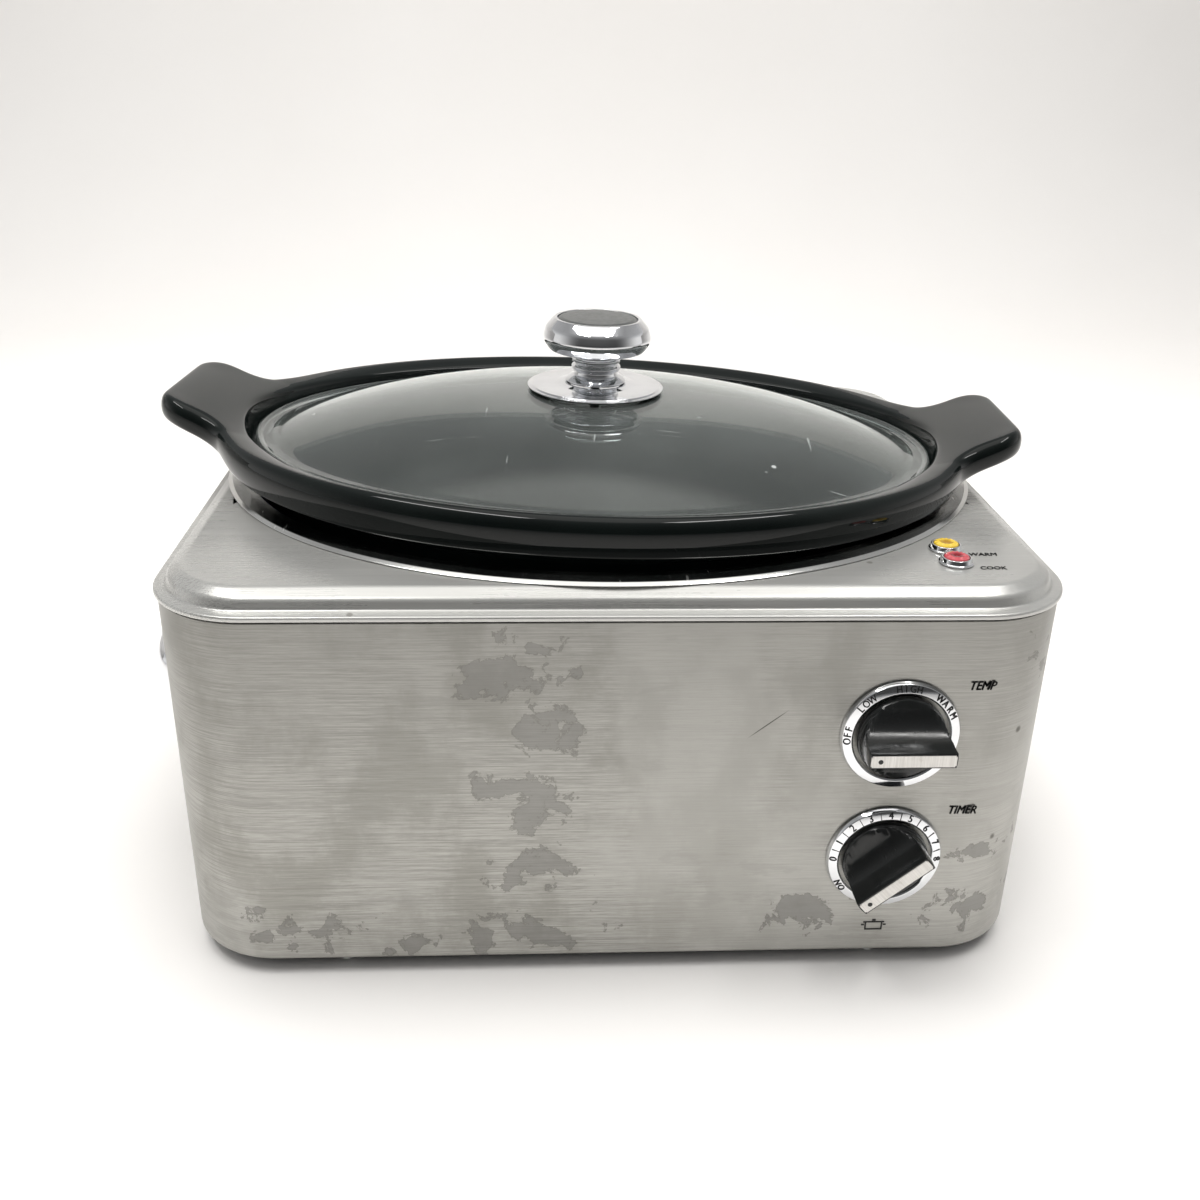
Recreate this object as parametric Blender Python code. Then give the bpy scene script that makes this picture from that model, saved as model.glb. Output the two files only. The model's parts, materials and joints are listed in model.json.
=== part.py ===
"""Oval slow cooker: a brushed steel casing with a heated well, a loose stoneware crock and a glass lid.

Metres, +Z up. The origin is on the floor under the middle of the whole cooker, and the controls face -Y.
"""

from math import atan2, cos, pi, radians, sin, sqrt

import bmesh
import bpy
from mathutils import Matrix, Vector

# ---------------------------------------------------------------- driving dimensions
GAP = 0.0003                    # clearance between pieces that rest on each other

CASE_HALF_WIDTH = 0.1920
CASE_HALF_DEPTH = 0.1672
CASE_CORNER = 0.0420
CASE_WALL = 0.0012
CASE_BOTTOM = 0.0080            # height of the wrap's lower edge, which the feet set
CASE_TOP = 0.1751               # height of the wrap's upper edge
CASE_FLANGE = 0.0140            # width of the wrap's turned-in lower edge
SEAM = 0.0010                   # shadow gap between the wrap and the deck
DECK_TOP = 0.1867
DECK_SHEET = 0.0010

WELL_MOUTH = (0.1805, 0.1530)   # half-axes of the crest of the bright ring round the well
MOUTH_LIP_WIDER = 1.40          # how much wider the ring's inner lip is at the front and back
WELL_FLOOR = 0.0545             # underside of the well
WELL_SHEET = 0.0010
SENSOR_HOLE = 0.0120

CROCK_RIM = (0.1888, 0.1416)    # half-axes of the rim's outer edge
CROCK_RIM_TOP = 0.2092
CROCK_RIM_DEPTH = 0.0134        # height of the rim's thick band at the ears
CROCK_RIM_EXTRA = 0.0046        # how much deeper that band is at the front and back
CROCK_FOOT = 0.0590             # underside of the crock
CROCK_OFFSET = -0.0048          # the crock stands a little to the left in the well
CROCK_TURN = radians(-4.0)      # and a little askew
CROCK_LEAN = radians(1.1)
EAR_REACH = 0.2098              # from the crock's middle to the tip of an ear
EAR_HALF_WIDTH = 0.0425
EAR_CORNER = 0.0175
EAR_FILLET = 0.0160
EAR_LIFT = 0.0145
EAR_LIFT_START = 0.1630
EAR_LIFT_END = 0.2080

LID_EDGE = (0.1704, 0.1232)
LID_TOP = 0.2031                # height of the glass edge
LID_GLASS = 0.0045
LID_RISE = 0.0248
LID_CURVE = 2.6                 # above 2 the dome is flatter in the middle than an arc
LID_HOLE = 0.0032
LID_SHIFT = 0.0010              # the lid's play in its seat

KNOB_DISC_RADIUS = 0.0340
KNOB_HEAD_RADIUS = 0.0267
KNOB_CAP_RADIUS = 0.0196
KNOB_WAIST_RADIUS = 0.0110
KNOB_HEIGHT = 0.0317

FRONT = -CASE_HALF_DEPTH
DIAL_X = 0.1193
TEMP_Z = 0.1228
TIMER_Z = 0.0606
DIAL_RADIUS = 0.0256
DIAL_BORE = 0.0205
KNOB_RADIUS = 0.0189
KNOB_REACH = 0.0225             # how far a control knob stands out from the casing
GRIP_HALF_LENGTH = 0.0184
GRIP_HALF_WIDTH = 0.0034
STRIP_INSET = 0.0007            # black border of the bar round the silver strip
SHAFT_RADIUS = 0.0030
BORE_RADIUS = 0.0034
SHAFT_HOLE = 0.0045
BRACKET_BACK = 0.0044           # how far behind the front the switch and timer are bolted on
TIMER_REST = radians(-41.0)     # the timer's pointer rests below the nine o'clock mark

LIGHT_X = 0.1453
WARM_LIGHT_Y = -0.1180
COOK_LIGHT_Y = -0.1333
LIGHT_RADIUS = 0.0053
BEZEL_RADIUS = 0.0070

HANDLE_Z = 0.1000
HANDLE_HALF_LENGTH = 0.0830
HANDLE_REACH = 0.0320
HANDLE_HALF_HEIGHT = 0.0165
HANDLE_HALF_THICK = 0.0050
HANDLE_LEG_Y = HANDLE_HALF_LENGTH - HANDLE_HALF_THICK
HANDLE_BOW = 0.42               # 1 is a half-round bow and 0 a square one

FOOT_X = 0.1480
FOOT_Y = 0.1230
BASE_SCREW_X = 0.1200
BASE_SCREW_Y = CASE_HALF_DEPTH - 0.0090
CORD_X = 0.1200                  # where the mains lead would enter the back
CORD_Z = 0.0420
GLAND_REACH = 0.0045

MIDDLE_Y = (KNOB_REACH - GLAND_REACH) / 2   # centres the whole depth, knobs and gland included

# ---------------------------------------------------------------- smoothness
CORNER_STEPS = 5
LONG_STEPS = 8
SHORT_STEPS = 6
OVAL_STEPS = 40
ROUND_STEPS = 24
SMALL_STEPS = 14
SCREW_STEPS = 10

CASING_MIDDLE = "casing_middle"     # the empty that carries everything

# name: (colour, roughness, metallic)
FINISHES = {
    "brushed_steel": ((0.62, 0.61, 0.58), 0.38, 1.0),
    "polished_steel": ((0.80, 0.80, 0.79), 0.12, 1.0),
    "zinc_steel": ((0.55, 0.56, 0.56), 0.45, 1.0),
    "aluminium": ((0.72, 0.72, 0.71), 0.40, 1.0),
    "chrome": ((0.86, 0.87, 0.88), 0.06, 1.0),
    "black_glaze": ((0.012, 0.014, 0.014), 0.10, 0.0),
    "lid_glass": ((0.55, 0.60, 0.57), 0.03, 0.0),
    "black_gloss": ((0.012, 0.012, 0.013), 0.18, 0.0),
    "black_matt": ((0.025, 0.025, 0.026), 0.60, 0.0),
    "satin_silver": ((0.74, 0.73, 0.71), 0.32, 1.0),
    "grey_cap": ((0.16, 0.17, 0.17), 0.35, 0.0),
    "amber_lens": ((0.85, 0.55, 0.03), 0.12, 0.0),
    "red_lens": ((0.62, 0.04, 0.07), 0.12, 0.0),
    "rubber": ((0.03, 0.03, 0.03), 0.80, 0.0),
    "mica": ((0.48, 0.40, 0.27), 0.60, 0.0),
    "glass_wool": ((0.78, 0.74, 0.58), 0.95, 0.0),
    "white_ceramic": ((0.82, 0.81, 0.78), 0.50, 0.0),
    "switch_plastic": ((0.70, 0.69, 0.64), 0.50, 0.0),
}


# ---------------------------------------------------------------- scene and mesh helpers
def clear_scene():
    for item in list(bpy.data.objects):
        bpy.data.objects.remove(item, do_unlink=True)


def finish(name):
    """The Principled material with the named finish, made once."""
    material = bpy.data.materials.get(name)
    if material:
        return material
    colour, roughness, metallic = FINISHES[name]
    material = bpy.data.materials.new(name)
    material.use_nodes = True
    shader = material.node_tree.nodes["Principled BSDF"]
    shader.inputs["Base Color"].default_value = (*colour, 1.0)
    shader.inputs["Roughness"].default_value = roughness
    shader.inputs["Metallic"].default_value = metallic
    return material


def add_object(name, mesh, material, location=(0, 0, 0), parent=None):
    """Adds a mesh, placed from its parent or else from the middle of the casing."""
    item = bpy.data.objects.new(name, mesh)
    item.location = location
    item.parent = parent or bpy.data.objects[CASING_MIDDLE]
    if material:
        mesh.materials.append(finish(material))
    bpy.context.collection.objects.link(item)
    return item


def add_empty(name, location, rotation=(0, 0, 0), parent=None):
    item = bpy.data.objects.new(name, None)
    item.location = location
    item.rotation_euler = rotation
    if name != CASING_MIDDLE:
        item.parent = parent or bpy.data.objects[CASING_MIDDLE]
    bpy.context.collection.objects.link(item)
    return item


def close_mesh(name, bm):
    """Turns the faces of a closed bmesh outward and stores it, with sharp edges where it folds."""
    bmesh.ops.recalc_face_normals(bm, faces=bm.faces)
    mesh = bpy.data.meshes.new(name)
    bm.to_mesh(mesh)
    bm.free()
    mesh.shade_smooth()
    mesh.set_sharp_from_angle(angle=radians(32))
    return mesh


def loft(name, loops, ring=False):
    """Skins a row of loops that have the same number of points.

    A ring joins its last loop to its first; any other loft is capped at both ends.
    """
    bm = bmesh.new()
    rows = [[bm.verts.new(point) for point in loop] for loop in loops]
    count = len(rows[0])
    pairs = list(zip(rows, rows[1:]))
    if ring:
        pairs.append((rows[-1], rows[0]))
    else:
        bm.faces.new(rows[0])
        bm.faces.new(rows[-1])
    for lower, upper in pairs:
        for i in range(count):
            j = (i + 1) % count
            bm.faces.new((lower[i], lower[j], upper[j], upper[i]))
    return close_mesh(name, bm)


def at_height(outline, z):
    return [(x, y, z) for x, y in outline]


def circle(radius, steps=ROUND_STEPS):
    return [(radius * cos(2 * pi * i / steps), radius * sin(2 * pi * i / steps)) for i in range(steps)]


def turned(name, profile, steps=ROUND_STEPS, ring=False, along="Z"):
    """A turned body from (radius, height) pairs; along="Y" lays the axis down, pointing to +Y."""
    loops = []
    for radius, height in profile:
        loop = at_height(circle(radius, steps), height)
        if along == "Y":
            loop = [(x, z, y) for x, y, z in loop]
        loops.append(loop)
    return loft(name, loops, ring)


def oval(half_axes, steps=OVAL_STEPS):
    a, b = half_axes
    return [(a * cos(2 * pi * i / steps), b * sin(2 * pi * i / steps)) for i in range(steps)]


def grown(half_axes, offset):
    return (half_axes[0] + offset, half_axes[1] + offset)


def box(name, size, bevel=0.0):
    bm = bmesh.new()
    bmesh.ops.create_cube(bm, size=1.0)
    bmesh.ops.scale(bm, vec=size, verts=bm.verts)
    if bevel:
        bmesh.ops.bevel(bm, geom=bm.edges[:], offset=bevel, segments=2, affect="EDGES")
    return close_mesh(name, bm)


def add_cutter(name, mesh, location=(0, 0, 0), parent=None):
    cutter = add_object(name, mesh, None, location, parent)
    cutter.hide_render = True
    cutter.display_type = "WIRE"
    return cutter


def boolean(target, tool, operation="DIFFERENCE"):
    modifier = target.modifiers.new(tool.name, "BOOLEAN")
    modifier.operation = operation
    modifier.solver = "EXACT"
    modifier.object = tool


def merged(name, meshes):
    """One mesh holding several closed shapes that don't touch, for a cutter that cuts them all."""
    bm = bmesh.new()
    for mesh, place in meshes:
        start = len(bm.verts)
        bm.from_mesh(mesh)
        bm.verts.ensure_lookup_table()
        bmesh.ops.translate(bm, vec=place, verts=bm.verts[start:])
    return close_mesh(name, bm)


# ---------------------------------------------------------------- outlines
def case_outline(inset=0.0):
    """The casing's rounded rectangle, stepped in by inset, anticlockwise from the right side."""
    half_x = CASE_HALF_WIDTH - inset
    half_y = CASE_HALF_DEPTH - inset
    radius = CASE_CORNER - inset
    flat_x = half_x - radius
    flat_y = half_y - radius
    points = []
    corners = ((flat_x, flat_y, 0), (-flat_x, flat_y, 90), (-flat_x, -flat_y, 180), (flat_x, -flat_y, 270))
    for turn, (cx, cy, start) in enumerate(corners):
        for i in range(CORNER_STEPS + 1):
            angle = radians(start + 90 * i / CORNER_STEPS)
            points.append((cx + radius * cos(angle), cy + radius * sin(angle)))
        nx, ny, following = corners[(turn + 1) % 4]
        angle = radians(following)
        end = (nx + radius * cos(angle), ny + radius * sin(angle))
        first = points[-1]
        steps = LONG_STEPS if turn % 2 == 0 else SHORT_STEPS
        for i in range(1, steps):
            share = i / steps
            points.append((first[0] + (end[0] - first[0]) * share, first[1] + (end[1] - first[1]) * share))
    return points


def oval_facing_case(half_axes):
    """Points of an oval in the same directions as the points of the casing's outline."""
    a, b = half_axes
    points = []
    for x, y in case_outline():
        angle = atan2(y, x)
        reach = 1 / sqrt((cos(angle) / a) ** 2 + (sin(angle) / b) ** 2)
        points.append((reach * cos(angle), reach * sin(angle)))
    return points


def fillet_on_rim():
    """Where a circle of radius EAR_FILLET touches the rim's oval and the ear's straight side."""
    a, b = CROCK_RIM
    low, high = 0.0, pi / 2
    for _ in range(60):
        t = (low + high) / 2
        across, along = cos(t) / a, sin(t) / b
        size = sqrt(across * across + along * along)
        if b * sin(t) + EAR_FILLET * along / size < EAR_HALF_WIDTH + EAR_FILLET:
            low = t
        else:
            high = t
    centre_x = a * cos(t) + EAR_FILLET * across / size
    return t, centre_x, atan2(along, across)


def rim_quarter():
    """A quarter of the rim's outline with half an ear: (x, y, angle of the matching oval point)."""
    a, b = CROCK_RIM
    t, fillet_x, normal = fillet_on_rim()
    corner_x = EAR_REACH - EAR_CORNER
    corner_y = EAR_HALF_WIDTH - EAR_CORNER
    points = [(EAR_REACH, 0.0), (EAR_REACH, corner_y * 0.5)]
    for i in range(4):
        angle = radians(90 * i / 3)
        points.append((corner_x + EAR_CORNER * cos(angle), corner_y + EAR_CORNER * sin(angle)))
    for i in range(4):
        angle = radians(-90) + (normal - pi / 2) * i / 3
        fillet_y = EAR_HALF_WIDTH + EAR_FILLET
        points.append((fillet_x + EAR_FILLET * cos(angle), fillet_y + EAR_FILLET * sin(angle)))
    last = len(points) - 1
    quarter = [(x, y, t * i / last) for i, (x, y) in enumerate(points)]
    for i in range(1, 7):
        angle = t + (pi / 2 - t) * i / 6
        quarter.append((a * cos(angle), b * sin(angle), angle))
    return quarter


def rim_outline():
    """The whole outline of the rim and its two ears, anticlockwise."""
    first = rim_quarter()
    second = [(-x, y, pi - t) for x, y, t in reversed(first[:-1])]
    upper = first + second
    lower = [(-x, -y, t + pi) for x, y, t in upper[1:-1]]
    return upper + lower


def smooth(share):
    share = min(max(share, 0.0), 1.0)
    return share * share * (3 - 2 * share)


def ear_lift(x):
    return EAR_LIFT * smooth((abs(x) - EAR_LIFT_START) / (EAR_LIFT_END - EAR_LIFT_START))


# ---------------------------------------------------------------- casing
def housing_wrap():
    profile = (
        (0.0, CASE_BOTTOM + 0.0012),
        (0.0, CASE_TOP),
        (CASE_WALL, CASE_TOP),
        (CASE_WALL, CASE_BOTTOM + CASE_WALL),
        (CASE_FLANGE, CASE_BOTTOM + CASE_WALL),
        (CASE_FLANGE, CASE_BOTTOM),
        (0.0012, CASE_BOTTOM),
    )
    wrap = add_object(
        "housing_wrap",
        loft("housing_wrap", [at_height(case_outline(inset), z) for inset, z in profile], ring=True),
        "brushed_steel",
    )
    shaft_hole = turned("shaft_hole", ((SHAFT_HOLE, -0.004), (SHAFT_HOLE, 0.004)), SMALL_STEPS, along="Y")
    inlet_hole = turned("inlet_hole", ((0.0075, -0.004), (0.0075, 0.004)), SMALL_STEPS, along="Y")
    cuts = [
        (shaft_hole, (DIAL_X, FRONT, TEMP_Z)),
        (shaft_hole, (DIAL_X, FRONT, TIMER_Z)),
        (inlet_hole, (CORD_X, -FRONT, CORD_Z)),
    ]
    boolean(wrap, add_cutter("wrap_round_holes", merged("wrap_round_holes", cuts)))
    screw_hole = turned("screw_hole", ((0.0022, -0.004), (0.0022, 0.004)), SCREW_STEPS)
    cuts = [(screw_hole, (x, y, CASE_BOTTOM)) for x in (-BASE_SCREW_X, BASE_SCREW_X)
            for y in (-BASE_SCREW_Y, BASE_SCREW_Y)]
    boolean(wrap, add_cutter("wrap_screw_holes", merged("wrap_screw_holes", cuts)))
    side_hole = turned("side_hole", ((0.0023, -0.006), (0.0023, 0.006)), SCREW_STEPS)
    side_hole.transform(Matrix.Rotation(pi / 2, 4, "Y"))
    cuts = [(side_hole, (x, y, HANDLE_Z)) for x in (-CASE_HALF_WIDTH, CASE_HALF_WIDTH)
            for y in (-HANDLE_LEG_Y, HANDLE_LEG_Y)]
    boolean(wrap, add_cutter("wrap_side_holes", merged("wrap_side_holes", cuts)))


def top_deck():
    """The pressed deck: locating skirt, proud lip, narrow ledge, rounded shoulder, flat top, oval mouth."""
    lip = CASE_TOP + SEAM
    outer = (
        (0.0016, lip - 0.0060), (0.0016, lip), (-0.0014, lip), (-0.0014, lip + 0.0019),
        (-0.0006, lip + 0.0027), (0.0022, lip + 0.0029), (0.0040, lip + 0.0039), (0.0047, lip + 0.0065),
        (0.0062, DECK_TOP - 0.0016), (0.0090, DECK_TOP - 0.0002), (0.0135, DECK_TOP),
    )
    inner = (
        (0.0140, DECK_TOP - DECK_SHEET), (0.0095, DECK_TOP - 0.0013), (0.0072, DECK_TOP - 0.0024),
        (0.0057, DECK_TOP - 0.0045), (0.0051, lip + 0.0035), (0.0040, lip + 0.0020),
        (0.0026, lip + 0.0015), (0.0026, lip - 0.0060),
    )
    mouth = oval_facing_case(grown(WELL_MOUTH, -0.0018))
    loops = [at_height(case_outline(inset), z) for inset, z in outer]
    loops += [at_height(mouth, DECK_TOP), at_height(mouth, DECK_TOP - DECK_SHEET)]
    loops += [at_height(case_outline(inset), z) for inset, z in inner]
    deck = add_object("top_deck", loft("top_deck", loops, ring=True), "brushed_steel")
    bore = LIGHT_RADIUS - 0.0007
    hole = turned("light_hole", ((bore, -0.004), (bore, 0.004)), SMALL_STEPS)
    cuts = [(hole, (LIGHT_X, y, DECK_TOP)) for y in (WARM_LIGHT_Y, COOK_LIGHT_Y)]
    boolean(deck, add_cutter("light_holes", merged("light_holes", cuts)))


def opening_ring():
    top = DECK_TOP + GAP
    profile = (
        (0.0062, top), (0.0042, top + 0.0010), (0.0, top + 0.0015), (-0.0036, top + 0.0009),
        (-0.0062, top - 0.0015), (-0.0064, top - 0.0080), (-0.0054, top - 0.0080), (-0.0053, top - 0.0014),
        (-0.0040, top),
    )
    loops = []
    for offset, z in profile:
        wider = MOUTH_LIP_WIDER if offset < 0 else 1.0      # the lip runs further in at the front and back
        loops.append(at_height(oval((WELL_MOUTH[0] + offset, WELL_MOUTH[1] + offset * wider)), z))
    add_object("opening_ring", loft("opening_ring", loops, ring=True), "polished_steel")


def bottom_plate():
    """The black base tray under the wrap, with two rows of air slots."""
    top = CASE_BOTTOM - GAP
    bottom = top - 0.0025
    loops = [
        at_height(case_outline(0.0045), bottom), at_height(case_outline(0.0035), bottom + 0.0008),
        at_height(case_outline(0.0035), top), at_height(case_outline(CASE_FLANGE + 0.001), top),
    ]
    plate = add_object("bottom_plate", loft("bottom_plate", loops), "black_matt")
    slot = box("slot", (0.0300, 0.0040, 0.0120))
    cuts = [(slot, (x, y, bottom)) for x in (-0.070, -0.035, 0.0, 0.035, 0.070) for y in (-0.050, 0.050)]
    boolean(plate, add_cutter("air_slots", merged("air_slots", cuts)))
    screw_hole = turned("plate_screw_hole", ((0.0022, -0.006), (0.0022, 0.006)), SCREW_STEPS)
    foot_hole = turned("foot_hole", ((0.0034, -0.006), (0.0034, 0.006)), SCREW_STEPS)
    cuts = [(screw_hole, (x, y, bottom)) for x in (-BASE_SCREW_X, BASE_SCREW_X)
            for y in (-BASE_SCREW_Y, BASE_SCREW_Y)]
    cuts += [(foot_hole, (x, y, bottom)) for x in (-FOOT_X, FOOT_X) for y in (-FOOT_Y, FOOT_Y)]
    boolean(plate, add_cutter("plate_holes", merged("plate_holes", cuts)))


def feet():
    """Four push-in rubber feet; a stem goes up through the tray and its head holds it there."""
    under = CASE_BOTTOM - GAP - 0.0025 - GAP
    over = CASE_BOTTOM
    profile = (
        (0.0090, 0.0), (0.0100, 0.0008), (0.0112, under - 0.0004), (0.0108, under),
        (0.0031, under), (0.0031, over), (0.0042, over), (0.0036, over + 0.0024),
    )
    mesh = turned("foot", profile, SMALL_STEPS)
    mesh.materials.append(finish("rubber"))
    for side, x in (("left", -FOOT_X), ("right", FOOT_X)):
        for end, y in (("front", -FOOT_Y), ("back", FOOT_Y)):
            add_object(f"foot_{end}_{side}", mesh, None, (x, y, 0))


def base_screws():
    head = CASE_BOTTOM - GAP - 0.0025 - GAP
    profile = (
        (0.0030, head - 0.0020), (0.0036, head - 0.0014), (0.0036, head),
        (0.0018, head), (0.0018, head + 0.0110),
    )
    mesh = turned("base_screw", profile, SCREW_STEPS)
    mesh.materials.append(finish("zinc_steel"))
    for side, x in (("left", -BASE_SCREW_X), ("right", BASE_SCREW_X)):
        for end, y in (("front", -BASE_SCREW_Y), ("back", BASE_SCREW_Y)):
            add_object(f"base_screw_{end}_{side}", mesh, None, (x, y, 0))


# ---------------------------------------------------------------- heated well
WELL_OUTER = (                  # (half-axes, height) down the outside of the well
    ((0.1800, 0.1535), 0.1846),
    ((0.1765, 0.1490), 0.1840),
    ((0.1762, 0.1486), 0.1770),
    ((0.1728, 0.1360), 0.1540),
    ((0.1670, 0.1285), 0.0680),
    ((0.1640, 0.1255), 0.0590),
    ((0.1560, 0.1175), WELL_FLOOR),
)


def well_half_axes(z):
    """Half-axes of the outside of the well's tapering wall at a height."""
    (upper, top), (lower, bottom) = WELL_OUTER[3], WELL_OUTER[4]
    share = (z - bottom) / (top - bottom)
    return tuple(low + (high - low) * share for low, high in zip(lower, upper))


def heating_well():
    sheet = WELL_SHEET
    loops = [at_height(oval(axes), z) for axes, z in WELL_OUTER]
    loops.append(at_height(oval((SENSOR_HOLE, SENSOR_HOLE)), WELL_FLOOR))
    loops.append(at_height(oval((SENSOR_HOLE, SENSOR_HOLE)), WELL_FLOOR + sheet))
    for axes, z in reversed(WELL_OUTER[1:]):
        loops.append(at_height(oval(grown(axes, -sheet)), z + sheet * (0.4 if z > WELL_FLOOR else 1.0)))
    loops[-1] = at_height(oval(grown(WELL_OUTER[1][0], -sheet)), WELL_OUTER[0][1] + 0.0006)
    loops.append(at_height(oval(WELL_OUTER[0][0]), WELL_OUTER[0][1] + 0.0006))
    add_object("heating_well", loft("heating_well", loops, ring=True), "aluminium")


def wall_band(name, material, inner, outer, bottom, top):
    """A band that follows the well's taper between two offsets from its outside."""
    low = well_half_axes(bottom)
    high = well_half_axes(top)
    loops = [
        at_height(oval(grown(low, inner)), bottom), at_height(oval(grown(low, outer)), bottom),
        at_height(oval(grown(high, outer)), top), at_height(oval(grown(high, inner)), top),
    ]
    return add_object(name, loft(name, loops, ring=True), material)


def heater_and_insulation():
    wall_band("heater_band", "mica", 0.0005, 0.0028, 0.0720, 0.1220)
    wall_band("insulation_blanket", "glass_wool", 0.0034, 0.0074, 0.0700, 0.1350)
    wall_band("heat_shield", "zinc_steel", 0.0082, 0.0090, 0.0400, 0.1500)


def reflector():
    loops = [
        at_height(oval((0.1480, 0.1100)), 0.0300), at_height(oval((0.1560, 0.1180)), 0.0345),
        at_height(oval((0.1560, 0.1180)), 0.0357), at_height(oval((0.1470, 0.1090)), 0.0311),
    ]
    plate = add_object("reflector_plate", loft("reflector_plate", loops), "zinc_steel")
    hole = turned("sensor_clearance", ((0.0190, 0.020), (0.0190, 0.050)), SMALL_STEPS)
    boolean(plate, add_cutter("sensor_clearance", hole))


def thermostat():
    """The sprung sensor that touches the crock through the hole in the well's floor."""
    profile = (
        (0.0100, 0.0250), (0.0165, 0.0260), (0.0165, 0.0460), (0.0150, 0.0480), (0.0105, 0.0480),
        (0.0105, 0.0575), (0.0095, 0.0584),
    )
    add_object("thermostat_sensor", turned("thermostat_sensor", profile, SMALL_STEPS), "aluminium")


# ---------------------------------------------------------------- crock
def crock(pose):
    outline = rim_outline()
    a, b = CROCK_RIM
    flare = [(x, y) for x, y, _ in outline]
    angles = [t for _, _, t in outline]

    def deepened(t, extra):
        """How far below its height at the ears a point of the band lies."""
        share = abs(sin(t))
        return extra * share * share * (3 - 2 * share)

    def inner_oval(shrink_a, shrink_b, drop, extra=0.0):
        points = []
        for t in angles:
            points.append(((a - shrink_a) * cos(t), (b - shrink_b) * sin(t), -drop - deepened(t, extra)))
        return points

    def between(share, shrink, drop):
        """Points between an inner oval and the outline, lifted with the ears."""
        points = []
        for (x, y), t in zip(flare, angles):
            ix, iy = (a - shrink) * cos(t), (b - shrink) * sin(t)
            px, py = ix + (x - ix) * share, iy + (y - iy) * share
            points.append((px, py, ear_lift(px) - drop))
        return points

    def pulled_in(step, drop, extra=0.0, tuck=0.0):
        """The outline moved in by step along its own normals, less by tuck at the front and back."""
        points = []
        count = len(flare)
        for i in range(count):
            px, py = flare[i - 1]
            nx, ny = flare[(i + 1) % count]
            tangent = Vector((nx - px, ny - py)).normalized()
            move = step - deepened(angles[i], step * tuck)
            x = flare[i][0] - move * tangent.y
            y = flare[i][1] + move * tangent.x
            points.append((x, y, ear_lift(x) - drop - deepened(angles[i], extra)))
        return points

    depth = CROCK_RIM_DEPTH
    extra = CROCK_RIM_EXTRA
    foot = CROCK_RIM_TOP - CROCK_FOOT
    loops = [
        inner_oval(0.0580, 0.0510, foot - 0.0090),      # inside floor
        inner_oval(0.0430, 0.0370, foot - 0.0180),
        inner_oval(0.0330, 0.0290, 0.0500),
        inner_oval(0.0290, 0.0275, 0.0160),             # inside wall, under the lid ledge
        inner_oval(0.0250, 0.0250, 0.0118),             # ledge that carries the lid
        inner_oval(0.0170, 0.0170, 0.0115),
        between(0.0, 0.0158, 0.0020),
        between(0.0, 0.0140, 0.0004),                   # flat top of the rim and ears
        between(0.50, 0.0140, 0.0),
        pulled_in(0.0034, 0.0002),
        pulled_in(0.0006, 0.0020),
        pulled_in(0.0, 0.0046),
        pulled_in(0.0004, depth - 0.0034, extra),
        pulled_in(0.0032, depth, extra, 0.75),
        inner_oval(0.0120, 0.0016, depth + 0.0014, extra),     # underside, running in to the wall
        inner_oval(0.0225, 0.0036, depth + 0.0060, extra),
        inner_oval(0.0240, 0.0070, 0.0340),
        inner_oval(0.0275, 0.0150, 0.0600),
        inner_oval(0.0340, 0.0250, foot - 0.0150),
        inner_oval(0.0450, 0.0360, foot),               # foot
    ]
    add_object("crock", loft("crock", loops), "black_glaze", parent=pose)


# ---------------------------------------------------------------- lid
def lid_height(share, base):
    """Height of the dome over base, at a share of the way from the middle to the edge."""
    return base + LID_RISE * (1 - share ** LID_CURVE)


def glass_lid(pose):
    edge = LID_TOP - CROCK_RIM_TOP
    a, b = LID_EDGE

    def loop(inset, z):
        return at_height(oval((a - inset, b - inset)), z)

    def dome(share, drop):
        z = lid_height(share, edge - 0.0012) - drop
        return at_height(oval(((a - 0.0085) * share, (b - 0.0085) * share)), z)

    def seat(radius, drop):
        return at_height(circle(radius, OVAL_STEPS), lid_height(0.0, edge - 0.0012) - drop)

    shares = (1.0, 0.80, 0.50)
    loops = [loop(0.0, edge - 0.0036), loop(0.0, edge - 0.0012), loop(0.0012, edge), loop(0.0052, edge)]
    loops += [dome(share, 0.0) for share in shares]
    loops += [seat(0.0120, 0.0), seat(LID_HOLE, 0.0), seat(LID_HOLE, LID_GLASS), seat(0.0120, LID_GLASS)]
    loops += [dome(share, LID_GLASS) for share in reversed(shares[1:])]
    loops += [loop(0.0100, edge - 0.0050), loop(0.0020, edge - 0.0050)]
    add_object("glass_lid", loft("glass_lid", loops, ring=True), "lid_glass", parent=pose)


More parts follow.
